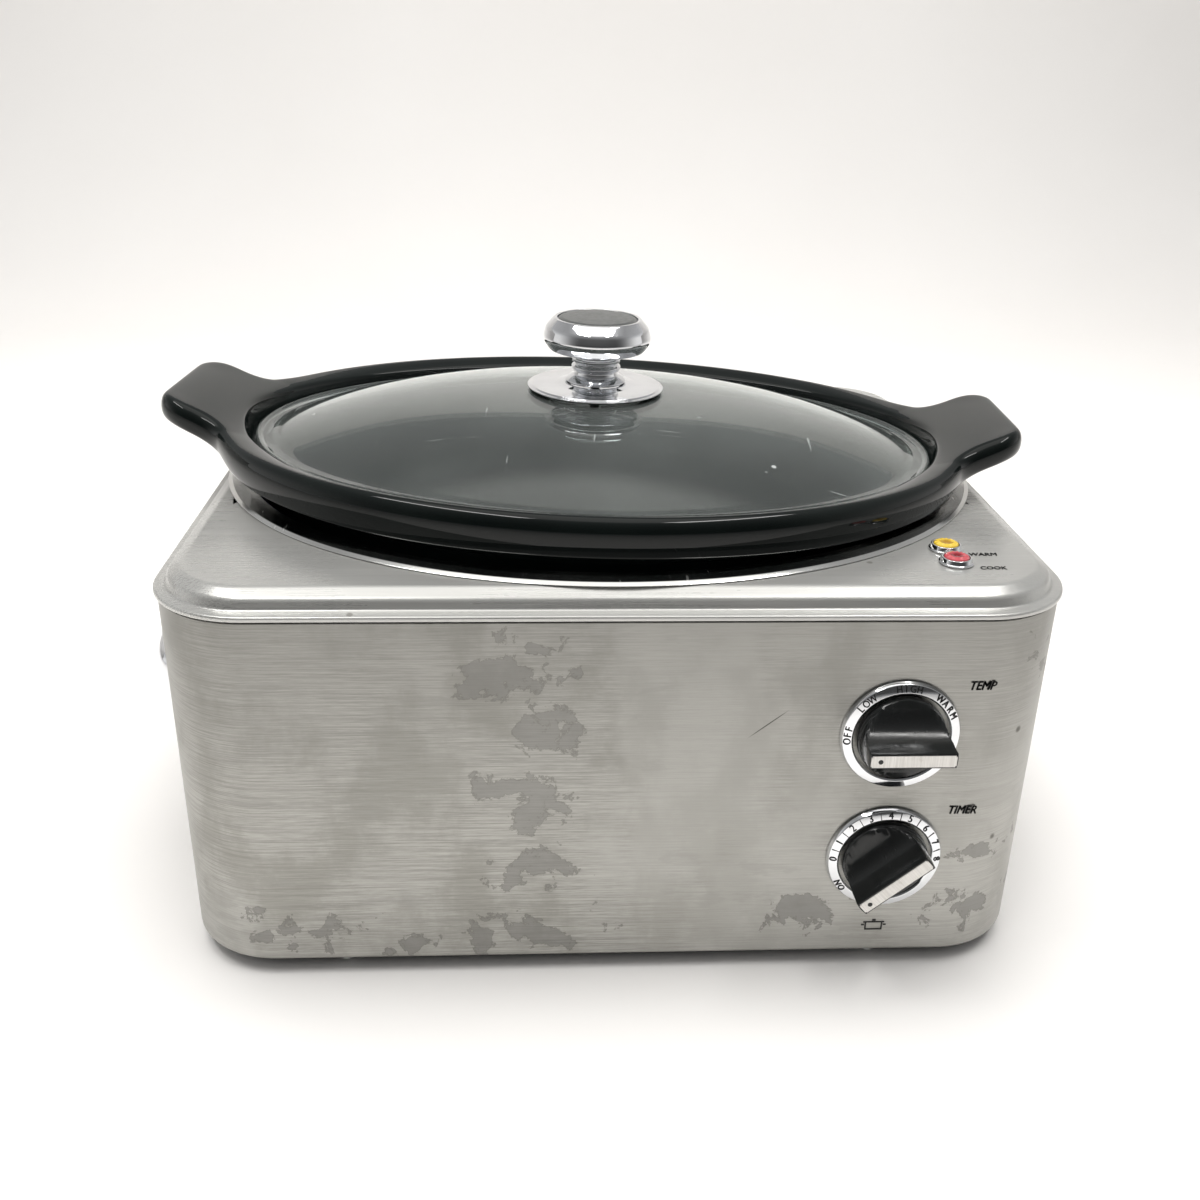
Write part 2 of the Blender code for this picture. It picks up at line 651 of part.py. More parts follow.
def lid_knob(pose):
    """Everything on the lid's centre line: escutcheon disc, mushroom knob, cap, washer and screw."""
    crown = LID_TOP - CROCK_RIM_TOP - 0.0012 + LID_RISE
    disc = crown + GAP
    radius = KNOB_DISC_RADIUS
    profile = (
        (LID_HOLE, disc), (radius - 0.0015, disc), (radius, disc + 0.0004), (radius, disc + 0.0011),
        (radius - 0.0012, disc + 0.0019), (0.0200, disc + 0.0024),
        (0.0150, disc + 0.0030), (LID_HOLE, disc + 0.0030),
    )
    add_object("lid_disc", turned("lid_disc", profile, ROUND_STEPS, ring=True), "chrome", parent=pose)

    neck = disc + 0.0030 + GAP
    waist = KNOB_WAIST_RADIUS
    head = KNOB_HEAD_RADIUS
    cap_radius = KNOB_CAP_RADIUS
    top = neck + KNOB_HEIGHT
    profile = (
        (LID_HOLE - 0.0006, neck + 0.0145), (LID_HOLE - 0.0006, neck), (waist + 0.0038, neck),
        (waist + 0.0042, neck + 0.0010), (waist + 0.0010, neck + 0.0034), (waist, neck + 0.0060),
        (waist + 0.0009, neck + 0.0070), (waist + 0.0009, neck + 0.0086), (waist, neck + 0.0096),
        (waist + 0.0014, neck + 0.0140), (head - 0.0100, neck + 0.0151), (head - 0.0042, neck + 0.0160),
        (head - 0.0008, neck + 0.0190), (head, neck + 0.0222), (head - 0.0010, neck + 0.0262),
        (head - 0.0038, neck + 0.0298), (cap_radius + 0.0003, top), (cap_radius, top - 0.0026),
    )
    add_object("lid_knob", turned("lid_knob", profile), "chrome", parent=pose)
    seat = top - 0.0026 + GAP
    profile = (
        (cap_radius - 0.0014, seat), (cap_radius - 0.0004, seat + 0.0004),
        (cap_radius - 0.0004, top - 0.0010),
        (cap_radius - 0.0016, top - 0.0004), (0.0100, top + 0.0002),
    )
    add_object("knob_cap", turned("knob_cap", profile), "grey_cap", parent=pose)

    under = crown - LID_GLASS - GAP
    profile = ((LID_HOLE, under - 0.0015), (0.0100, under - 0.0015), (0.0105, under), (LID_HOLE, under))
    washer = turned("lid_washer", profile, SMALL_STEPS, ring=True)
    add_object("lid_washer", washer, "rubber", parent=pose)
    under -= 0.0015 + GAP
    profile = (
        (0.0042, under - 0.0030), (0.0052, under - 0.0022), (0.0052, under),
        (0.0022, under), (0.0022, neck + 0.0125),
    )
    add_object("lid_screw", turned("lid_screw", profile, SCREW_STEPS), "zinc_steel", parent=pose)


# ---------------------------------------------------------------- controls
def dial_ring(name, z):
    """The printed chrome ring round a knob, standing on the casing's front."""
    back = -GAP
    profile = (
        (DIAL_BORE, back), (DIAL_RADIUS, back), (DIAL_RADIUS, back - 0.0012),
        (DIAL_RADIUS - 0.0010, back - 0.0026),
        (DIAL_BORE + 0.0006, back - 0.0034), (DIAL_BORE, back - 0.0028),
    )
    mesh = turned(name, profile, ROUND_STEPS, ring=True, along="Y")
    add_object(name, mesh, "chrome", (DIAL_X, FRONT, z))


def grip_loop(half_long, half_wide, power, y, steps=ROUND_STEPS):
    """A rounded outline across a knob: an oval at power 2, squarer above it."""
    loop = []
    for i in range(steps):
        angle = 2 * pi * i / steps
        c, s = cos(angle), sin(angle)
        x = half_long * abs(c) ** (2 / power) * (1 if c >= 0 else -1)
        z = half_wide * abs(s) ** (2 / power) * (1 if s >= 0 else -1)
        loop.append((x, y, z))
    return loop


def control_knob(name, z, rest_angle):
    """A black knob: a round skirt from which the flanks scoop up into a bar across the middle."""
    axis = add_empty(f"{name}_axis", (DIAL_X, FRONT, z), (0, rest_angle, 0))
    face = -KNOB_REACH
    skirt = KNOB_RADIUS
    loops = [
        grip_loop(skirt - 0.0008, skirt - 0.0008, 2.0, -0.0008),
        grip_loop(skirt, skirt, 2.0, -0.0016),
        grip_loop(skirt, skirt, 2.0, -0.0046),
        grip_loop(skirt - 0.0005, skirt - 0.0022, 2.0, -0.0054),
        grip_loop(skirt - 0.0006, skirt * 0.66, 2.1, -0.0066),
        grip_loop(skirt - 0.0007, skirt * 0.42, 2.4, -0.0088),
        grip_loop(GRIP_HALF_LENGTH, GRIP_HALF_WIDTH * 1.70, 3.2, -0.0120),
        grip_loop(GRIP_HALF_LENGTH, GRIP_HALF_WIDTH * 1.20, 6.0, -0.0160),
        grip_loop(GRIP_HALF_LENGTH, GRIP_HALF_WIDTH, 12.0, face + 0.0014),
        grip_loop(GRIP_HALF_LENGTH - 0.0003, GRIP_HALF_WIDTH - 0.0003, 12.0, face + 0.0010),
    ]
    knob = add_object(name, loft(name, loops), "black_gloss", parent=axis)
    bore = turned(f"{name}_bore", ((BORE_RADIUS, -0.0115), (BORE_RADIUS, 0.0040)), SCREW_STEPS, along="Y")
    boolean(knob, add_cutter(f"{name}_bore", bore, parent=axis))
    half_long = GRIP_HALF_LENGTH - STRIP_INSET
    half_wide = GRIP_HALF_WIDTH - STRIP_INSET
    strip = [
        grip_loop(half_long, half_wide, 12.0, face + 0.0010 - GAP),
        grip_loop(half_long, half_wide, 12.0, face + 0.0002),
        grip_loop(half_long - 0.0003, half_wide - 0.0003, 12.0, face),
    ]
    add_object(f"{name}_pointer", loft(f"{name}_pointer", strip), "satin_silver", parent=axis)
    profile = ((SHAFT_RADIUS, -0.0110), (SHAFT_RADIUS, 0.0115))
    shaft = turned(f"{name}_shaft", profile, SCREW_STEPS, along="Y")
    add_object(f"{name}_shaft", shaft, "zinc_steel", parent=axis)


def control_bracket():
    """The sheet bracket behind the front that carries the switch and the timer."""
    bracket = add_object(
        "control_bracket", box("control_bracket", (0.0560, 0.0015, 0.1180)), "zinc_steel",
        (DIAL_X, FRONT + BRACKET_BACK - 0.00075, (TEMP_Z + TIMER_Z) / 2),
    )
    hole = turned("bracket_hole", ((SHAFT_HOLE, -0.004), (SHAFT_HOLE, 0.004)), SMALL_STEPS, along="Y")
    middle = (TEMP_Z - TIMER_Z) / 2
    cuts = [(hole, (0, 0, middle)), (hole, (0, 0, -middle))]
    cutter = add_cutter("bracket_holes", merged("bracket_holes", cuts), parent=bracket)
    boolean(bracket, cutter)


def terminal_tabs(target, name, places, size, parent):
    tabs = [(box("tab", size), place) for place in places]
    boolean(target, add_cutter(name, merged(name, tabs), parent=parent), "UNION")


def temp_switch():
    """The rotary heat switch: a square moulding with three spade tabs at the back."""
    place = (DIAL_X, FRONT + BRACKET_BACK + 0.0130 + GAP, TEMP_Z)
    mesh = box("temp_switch", (0.0340, 0.0260, 0.0300), 0.0020)
    body = add_object("temp_switch", mesh, "switch_plastic", place)
    tabs = [(x, 0.0160, 0.0) for x in (-0.010, 0.0, 0.010)]
    terminal_tabs(body, "temp_switch_tabs", tabs, (0.0048, 0.0080, 0.0008), body)
    bore = turned("switch_bore", ((SHAFT_HOLE, -0.0180), (SHAFT_HOLE, -0.0050)), SCREW_STEPS, along="Y")
    boolean(body, add_cutter("switch_bore", bore, parent=body))


def timer_movement():
    """The clockwork timer: a round can with a flat bell cup and two spade tabs."""
    profile = (
        (0.0220, -0.0130), (0.0240, -0.0120), (0.0240, 0.0080), (0.0225, 0.0090), (0.0150, 0.0092),
        (0.0150, 0.0112), (0.0130, 0.0130), (0.0060, 0.0134),
    )
    place = (DIAL_X, FRONT + BRACKET_BACK + 0.0130 + GAP, TIMER_Z)
    mesh = turned("timer_movement", profile, SMALL_STEPS, along="Y")
    body = add_object("timer_movement", mesh, "zinc_steel", place)
    tabs = [(x, 0.0110, 0.0195) for x in (-0.006, 0.006)]
    terminal_tabs(body, "timer_tabs", tabs, (0.0048, 0.0080, 0.0008), body)
    bore = turned("timer_bore", ((SHAFT_HOLE, -0.0180), (SHAFT_HOLE, -0.0050)), SCREW_STEPS, along="Y")
    boolean(body, add_cutter("timer_bore", bore, parent=body))


def light(name, y, lens_finish):
    """A pilot light: chrome bezel on the deck, faceted lens, neon lamp holder under the deck."""
    top = DECK_TOP + GAP
    profile = (
        (LIGHT_RADIUS + GAP, top), (BEZEL_RADIUS, top), (BEZEL_RADIUS, top + 0.0006),
        (BEZEL_RADIUS - 0.0010, top + 0.0016), (LIGHT_RADIUS + GAP, top + 0.0016),
    )
    place = (LIGHT_X, y, 0)
    bezel = turned(f"{name}_bezel", profile, SMALL_STEPS, ring=True)
    add_object(f"{name}_bezel", bezel, "chrome", place)
    stem = LIGHT_RADIUS - 0.0010
    profile = (
        (stem, DECK_TOP - 0.0090), (stem, top), (LIGHT_RADIUS, top), (LIGHT_RADIUS, top + 0.0012),
        (LIGHT_RADIUS * 0.72, top + 0.0026), (LIGHT_RADIUS * 0.30, top + 0.0032),
    )
    add_object(f"{name}_lens", turned(f"{name}_lens", profile, SCREW_STEPS), lens_finish, place)
    under = DECK_TOP - 0.0090 - GAP
    profile = ((0.0034, under - 0.0140), (0.0040, under - 0.0130), (0.0040, under), (0.0020, under))
    add_object(f"{name}_lamp", turned(f"{name}_lamp", profile, SCREW_STEPS), "white_ceramic", place)


# ---------------------------------------------------------------- handles and rear
def side_handle(name, side):
    """A cast chrome bow: an upright oval section swept out from the casing and back."""
    wall = CASE_HALF_WIDTH + GAP
    stations = 14
    loops = []
    for i in range(stations + 1):
        angle = pi * i / stations
        along = -cos(angle)
        out = sin(angle) ** HANDLE_BOW
        y = (HANDLE_HALF_LENGTH - HANDLE_HALF_THICK) * along
        x = wall + (HANDLE_REACH - HANDLE_HALF_THICK) * out
        steepness = HANDLE_BOW * cos(angle) / max(sin(angle), 0.12) ** (1 - HANDLE_BOW)
        slope_x = (HANDLE_REACH - HANDLE_HALF_THICK) * steepness
        slope_y = (HANDLE_HALF_LENGTH - HANDLE_HALF_THICK) * sin(angle)
        normal = Vector((slope_y, -slope_x)).normalized()
        if i in (0, stations):
            x = wall
            normal = Vector((0.0, -1.0 if i == 0 else 1.0))
        height = HANDLE_HALF_HEIGHT * (1.0 - 0.10 * out)
        loop = []
        for k in range(14):
            turn = 2 * pi * k / 14
            across = HANDLE_HALF_THICK * cos(turn)
            loop.append((side * (x + normal.x * across), y + normal.y * across, height * sin(turn)))
        loops.append(loop)
    handle = add_object(name, loft(name, loops), "chrome", (0, 0, HANDLE_Z))
    bore = turned(f"{name}_bore", ((0.0021, -0.0060), (0.0021, 0.0060)), SCREW_STEPS)
    bore.transform(Matrix.Rotation(pi / 2, 4, "Y"))
    cuts = [(bore, (side * wall, y, 0)) for y in (-HANDLE_LEG_Y, HANDLE_LEG_Y)]
    boolean(handle, add_cutter(f"{name}_bores", merged(f"{name}_bores", cuts), parent=handle))


def handle_screws():
    """Screws put in from inside the wrap; the shank goes up into the handle's leg."""
    profile = ((0.0036, -0.0040), (0.0042, -0.0034), (0.0042, -0.0015), (0.0017, -0.0015), (0.0017, 0.0050))
    mesh = turned("handle_screw", profile, SCREW_STEPS)
    mesh.materials.append(finish("zinc_steel"))
    for side_name, side in (("left", -1), ("right", 1)):
        for end, y in (("front", -HANDLE_LEG_Y), ("back", HANDLE_LEG_Y)):
            place = (side * CASE_HALF_WIDTH, y, HANDLE_Z)
            screw = add_object(f"handle_screw_{end}_{side_name}", mesh, None, place)
            screw.rotation_euler = (0, side * pi / 2, 0)


def cord_gland():
    """The round bush in the back wall where the mains lead enters."""
    profile = (
        (0.0038, GLAND_REACH), (0.0095, GLAND_REACH), (0.0115, GLAND_REACH - 0.0020), (0.0115, GAP),
        (0.0072, GAP), (0.0072, -0.0015),
        (0.0090, -0.0015), (0.0086, -0.0060), (0.0038, -0.0060),
    )
    bush = turned("cord_gland", profile, SMALL_STEPS, ring=True, along="Y")
    add_object("cord_gland", bush, "rubber", (CORD_X, CASE_HALF_DEPTH, CORD_Z))


def base_electrics():
    """The terminal block and the thermal cut-off that stand on the base tray."""
    standing = CASE_BOTTOM
    size = (0.0330, 0.0150, 0.0130)
    block = add_object(
        "terminal_block", box("terminal_block", size, 0.0010), "white_ceramic",
        (CORD_X - 0.0200, 0.1320, standing + size[2] / 2),
    )
    well = turned("terminal_well", ((0.0026, -0.004), (0.0026, 0.004)), SCREW_STEPS)
    cuts = [(well, (x, 0, size[2] / 2)) for x in (-0.010, 0.0, 0.010)]
    boolean(block, add_cutter("terminal_wells", merged("terminal_wells", cuts), parent=block))
    size = (0.0300, 0.0100, 0.0100)
    place = (-0.0200, 0.1350, standing + size[2] / 2)
    add_object("thermal_cutoff", box("thermal_cutoff", size, 0.0022), "white_ceramic", place)


def main():
    clear_scene()
    add_empty(CASING_MIDDLE, (0, MIDDLE_Y, 0))
    housing_wrap()
    top_deck()
    opening_ring()
    bottom_plate()
    feet()
    base_screws()
    heating_well()
    heater_and_insulation()
    reflector()
    thermostat()
    crock_pose = add_empty("crock_pose", (CROCK_OFFSET, 0, CROCK_RIM_TOP), (0, CROCK_LEAN, CROCK_TURN))
    crock(crock_pose)
    lid_pose = add_empty("lid_pose", (LID_SHIFT, 0, 0), parent=crock_pose)
    glass_lid(lid_pose)
    lid_knob(lid_pose)
    dial_ring("temp_dial_ring", TEMP_Z)
    dial_ring("timer_dial_ring", TIMER_Z)
    control_knob("temp_knob", TEMP_Z, 0.0)
    control_knob("timer_knob", TIMER_Z, TIMER_REST)
    control_bracket()
    temp_switch()
    timer_movement()
    light("warm_light", WARM_LIGHT_Y, "amber_lens")
    light("cook_light", COOK_LIGHT_Y, "red_lens")
    side_handle("handle_left", -1)
    side_handle("handle_right", 1)
    handle_screws()
    cord_gland()
    base_electrics()


main()
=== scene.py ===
import json
from math import atan2, cos, pi, radians, sin, sqrt, tan

import bmesh
import bpy
from mathutils import Euler, Matrix, Vector


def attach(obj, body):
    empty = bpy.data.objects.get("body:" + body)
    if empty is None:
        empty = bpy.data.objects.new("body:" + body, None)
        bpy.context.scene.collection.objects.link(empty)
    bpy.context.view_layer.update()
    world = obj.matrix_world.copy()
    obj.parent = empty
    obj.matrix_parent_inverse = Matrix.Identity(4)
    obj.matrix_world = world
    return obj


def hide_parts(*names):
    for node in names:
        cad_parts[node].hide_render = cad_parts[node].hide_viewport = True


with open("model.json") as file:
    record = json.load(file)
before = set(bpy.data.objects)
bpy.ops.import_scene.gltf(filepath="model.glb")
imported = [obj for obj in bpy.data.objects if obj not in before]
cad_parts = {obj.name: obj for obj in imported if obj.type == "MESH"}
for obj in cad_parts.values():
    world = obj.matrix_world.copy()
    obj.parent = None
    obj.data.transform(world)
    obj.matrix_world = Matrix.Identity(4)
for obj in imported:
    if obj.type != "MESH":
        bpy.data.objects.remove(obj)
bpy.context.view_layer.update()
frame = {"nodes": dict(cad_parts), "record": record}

# ---------------------------------------------------------------- dimensions, in metres, as in the CAD model
MIDDLE = 0.0090
CASE_X, CASE_Y, CASE_R = 0.1920, 0.1672, 0.0420
CASE_BOTTOM, CASE_TOP, DECK_TOP = 0.0080, 0.1751, 0.1867
FRONT = -CASE_Y
WELL_MOUTH = (0.1805, 0.1530)
MOUTH_LIP_WIDER = 1.40
RIM = (0.1888, 0.1416)
RIM_TOP, RIM_DEPTH, RIM_EXTRA, CROCK_FOOT = 0.2092, 0.0134, 0.0046, 0.0590
CROCK_POSE = (-0.0048, radians(1.1), radians(-4.0))
EAR_REACH, EAR_HALF_WIDTH, EAR_CORNER, EAR_FILLET = 0.2098, 0.0425, 0.0175, 0.0160
EAR_LIFT, EAR_LIFT_START, EAR_LIFT_END = 0.0145, 0.1630, 0.2080
LID_EDGE, LID_TOP, LID_GLASS, LID_RISE, LID_CURVE = (0.1704, 0.1232), 0.2031, 0.0045, 0.0248, 2.6
LID_HOLE, LID_SHIFT = 0.0032, 0.0010
DIAL_X, TEMP_Z, TIMER_Z = 0.1193, 0.1228, 0.0606
DIAL_RADIUS, DIAL_BORE = 0.0256, 0.0205
KNOB_RADIUS, KNOB_REACH = 0.0189, 0.0225
GRIP_HALF_LENGTH, GRIP_HALF_WIDTH, STRIP_INSET = 0.0184, 0.0034, 0.0007
TIMER_REST = radians(-41.0)
LIGHTS = (("warm", 0.1453, -0.1180), ("cook", 0.1453, -0.1333))
LIGHT_RADIUS, BEZEL_RADIUS = 0.0053, 0.0074
HANDLE_Z, HANDLE_HALF_LENGTH, HANDLE_REACH = 0.1000, 0.0830, 0.0320
HANDLE_HALF_HEIGHT, HANDLE_HALF_THICK, HANDLE_BOW = 0.0165, 0.0050, 0.42
GAP = 0.0003            # between pieces that rest on each other
AROUND = 160            # points round an oval


# ---------------------------------------------------------------- mesh helpers
def mesh_object(name, bm, sharp=None, location=(0, 0, 0), rotation=(0, 0, 0)):
    bmesh.ops.recalc_face_normals(bm, faces=bm.faces)
    mesh = bpy.data.meshes.new(name)
    bm.to_mesh(mesh)
    bm.free()
    mesh.shade_smooth()
    if sharp:
        mesh.set_sharp_from_angle(angle=radians(sharp))
    item = bpy.data.objects.new(name, mesh)
    item.location = location
    item.rotation_euler = rotation
    bpy.context.collection.objects.link(item)
    return item


def loft(name, loops, ring=False, sharp=None, location=(0, 0, 0), rotation=(0, 0, 0)):
    """A skin over matching loops; with ring the last loop joins the first, and without it both ends are closed."""
    bm = bmesh.new()
    rows = [[bm.verts.new(p) for p in loop] for loop in loops]
    count = len(rows[0])
    pairs = list(zip(rows, rows[1:]))
    if ring:
        pairs.append((rows[-1], rows[0]))
    else:
        bm.faces.new(rows[0])
        bm.faces.new(rows[-1])
    for low, high in pairs:
        for i in range(count):
            j = (i + 1) % count
            bm.faces.new((low[i], low[j], high[j], high[i]))
    return mesh_object(name, bm, sharp, location, rotation)


def rounded(points, radius, steps=4, closed=False):
    """A polyline with each corner rounded by up to radius; a point may carry its own radius as a third number."""
    count = len(points)
    out = []
    for i, point in enumerate(points):
        here = Vector(point[:2])
        if not closed and i in (0, count - 1):
            out.append(tuple(here))
            continue
        before = Vector(points[i - 1][:2]) - here
        after = Vector(points[(i + 1) % count][:2]) - here
        bend = before.angle(after)
        want = point[2] if len(point) > 2 else radius
        if bend > pi - 0.02 or want <= 0:
            out.append(tuple(here))
            continue
        cut = min(want / tan(bend / 2), before.length * 0.48, after.length * 0.48)
        first = here + before.normalized() * cut
        last = here + after.normalized() * cut
        for k in range(steps + 1):
            t = k / steps
            out.append(tuple(first * (1 - t) ** 2 + here * 2 * t * (1 - t) + last * t * t))
    return out


def circle(radius, steps):
    return [(radius * cos(2 * pi * i / steps), radius * sin(2 * pi * i / steps)) for i in range(steps)]


def oval(axes, steps=AROUND):
    return [(axes[0] * cos(2 * pi * i / steps), axes[1] * sin(2 * pi * i / steps)) for i in range(steps)]


def grown(axes, offset):
    return (axes[0] + offset, axes[1] + offset)


def at_height(outline, z):
    return [(x, y, z) for x, y in outline]


def turned(name, profile, steps=96, ring=False, along="Z", sharp=None, location=(0, 0, 0)):
    loops = []
    for radius, height in profile:
        loop = at_height(circle(max(radius, 0.00002), steps), height)
        if along == "Y":
            loop = [(x, z, y) for x, y, z in loop]
        loops.append(loop)
    return loft(name, loops, ring, sharp, location)


def weighted(item):
    modifier = item.modifiers.new("flat faces stay flat", "WEIGHTED_NORMAL")
    modifier.keep_sharp = True
    modifier.weight = 80
    return item


def subdivided(item, levels):
    modifier = item.modifiers.new("smooth", "SUBSURF")
    modifier.levels = levels
    modifier.render_levels = levels


def case_outline(inset=0.0, corner=18, long=10, short=8):
    """The casing's rounded rectangle, with the same number of points at any inset."""
    half_x, half_y, radius = CASE_X - inset, CASE_Y - inset, CASE_R - inset
    flat_x, flat_y = half_x - radius, half_y - radius
    corners = ((flat_x, flat_y, 0), (-flat_x, flat_y, 90), (-flat_x, -flat_y, 180), (flat_x, -flat_y, 270))
    points = []
    for turn, (cx, cy, start) in enumerate(corners):
        for i in range(corner + 1):
            angle = radians(start + 90 * i / corner)
            points.append((cx + radius * cos(angle), cy + radius * sin(angle)))
        nx, ny, following = corners[(turn + 1) % 4]
        angle = radians(following)
        end = (nx + radius * cos(angle), ny + radius * sin(angle))
        first = points[-1]
        steps = long if turn % 2 == 0 else short
        for i in range(1, steps):
            t = i / steps
            points.append((first[0] + (end[0] - first[0]) * t, first[1] + (end[1] - first[1]) * t))
    return points


def oval_facing_case(axes):
    a, b = axes
    points = []
    for x, y in case_outline():
        angle = atan2(y, x)
        reach = 1 / sqrt((cos(angle) / a) ** 2 + (sin(angle) / b) ** 2)
        points.append((reach * cos(angle), reach * sin(angle)))
    return points


# ---------------------------------------------------------------- material helpers
class Nodes:
    """The node tree of a material or world, with short calls for the nodes used here."""

    def __init__(self, owner):
        owner.use_nodes = True
        self.owner = owner
        self.tree = owner.node_tree
        self.shader = self.tree.nodes.get("Principled BSDF")
        self.coordinates = self.add("TexCoord")
        self.place = self.coordinates.outputs["Object"]

    def put(self, value, target):
        """Links an output to a socket, or sets the socket to a plain value."""
        if hasattr(value, "is_output"):
            self.tree.links.new(value, target)
        else:
            target.default_value = value

    def fill(self, node, inputs):
        for key, value in inputs.items():
            self.put(value, node.inputs[key.replace("_", " ")])
        return node

    def add(self, kind, **inputs):
        return self.fill(self.tree.nodes.new("ShaderNode" + kind), inputs)

    def set(self, **inputs):
        self.fill(self.shader, inputs)

    def stretched(self, scale, turn=(0, 0, 0)):
        return self.add("Mapping", Vector=self.place, Scale=scale, Rotation=turn).outputs["Vector"]

    def noise(self, vector, scale=1.0, detail=4.0, rough=0.55, distortion=0.0):
        return self.add(
            "TexNoise", Vector=vector, Scale=scale, Detail=detail, Roughness=rough, Distortion=distortion
        ).outputs["Fac"]

    def voronoi(self, vector, scale):
        return self.add("TexVoronoi", Vector=vector, Scale=scale).outputs["Distance"]

    def ramp(self, value, low, high, to=(0.0, 1.0), smooth=True):
        node = self.add("MapRange", Value=value, From_Min=low, From_Max=high, To_Min=to[0], To_Max=to[1])
        node.interpolation_type = "SMOOTHSTEP" if smooth else "LINEAR"
        return node.outputs["Result"]

    def math(self, operation, a, b):
        node = self.add("Math")
        node.operation = operation
        self.put(a, node.inputs[0])
        self.put(b, node.inputs[1])
        return node.outputs[0]

    def plus(self, a, b):
        return self.math("ADD", a, b)

    def minus(self, a, b):
        return self.math("SUBTRACT", a, b)

    def times(self, a, b):
        return self.math("MULTIPLY", a, b)

    def larger(self, a, b):
        return self.math("MAXIMUM", a, b)

    def mix(self, share, a, b):
        node = self.add("Mix")
        node.data_type = "RGBA"
        sockets = [s for s in node.inputs if s.enabled]
        for value, socket in zip((share, a, b), sockets):
            self.put((*value, 1.0) if isinstance(value, tuple) else value, socket)
        return [s for s in node.outputs if s.enabled][0]

    def axis(self, vector, index):
        return self.add("SeparateXYZ", Vector=vector).outputs[index]

    def length(self, vector):
        node = self.add("VectorMath")
        node.operation = "LENGTH"
        self.put(vector, node.inputs[0])
        return node.outputs["Value"]

    def blob(self, centre, size, turn=(0, 0, 0)):
        """1 in the middle of an ellipsoid and 0 or less outside it."""
        node = self.add("Mapping", Vector=self.place, Location=centre, Rotation=turn, Scale=size)
        node.vector_type = "TEXTURE"
        return self.minus(1.0, self.length(node.outputs["Vector"]))

    def bump(self, height, strength, distance, below=None):
        node = self.add("Bump", Strength=strength, Distance=distance, Height=height)
        if below is not None:
            self.put(below, node.inputs["Normal"])
        self.put(node.outputs["Normal"], self.shader.inputs["Normal"])
        return node.outputs["Normal"]

    def colours(self, value, stops):
        """A ramp of greys or colours along a value from 0 to 1."""
        node = self.add("ValToRGB", Fac=value)
        elements = node.color_ramp.elements
        while len(elements) < len(stops):
            elements.new(0.5)
        for element, (position, colour) in zip(elements, stops):
            element.position = position
            element.color = (*(colour if isinstance(colour, tuple) else (colour,) * 3), 1.0)
        return node.outputs["Color"]


def material(name):
    return Nodes(bpy.data.materials.new(name))


def most(n, values):
    out = values[0]
    for value in values[1:]:
        out = n.larger(out, value)
    return out


WORN_PATCHES = (        # middle (x, z) and half-sizes of each worn area on the casing's front
    (-0.050, 0.148, 0.023, 0.015), (-0.038, 0.125, 0.015, 0.016), (-0.047, 0.098, 0.019, 0.010),
    (-0.033, 0.060, 0.017, 0.017), (-0.036, 0.023, 0.033, 0.011), (-0.040, 0.080, 0.010, 0.013),
    (-0.134, 0.024, 0.030, 0.011), (-0.095, 0.017, 0.018, 0.008), (0.173, 0.148, 0.011, 0.014),
    (0.164, 0.033, 0.017, 0.012), (0.160, 0.060, 0.016, 0.006), (0.085, 0.033, 0.020, 0.011),
)


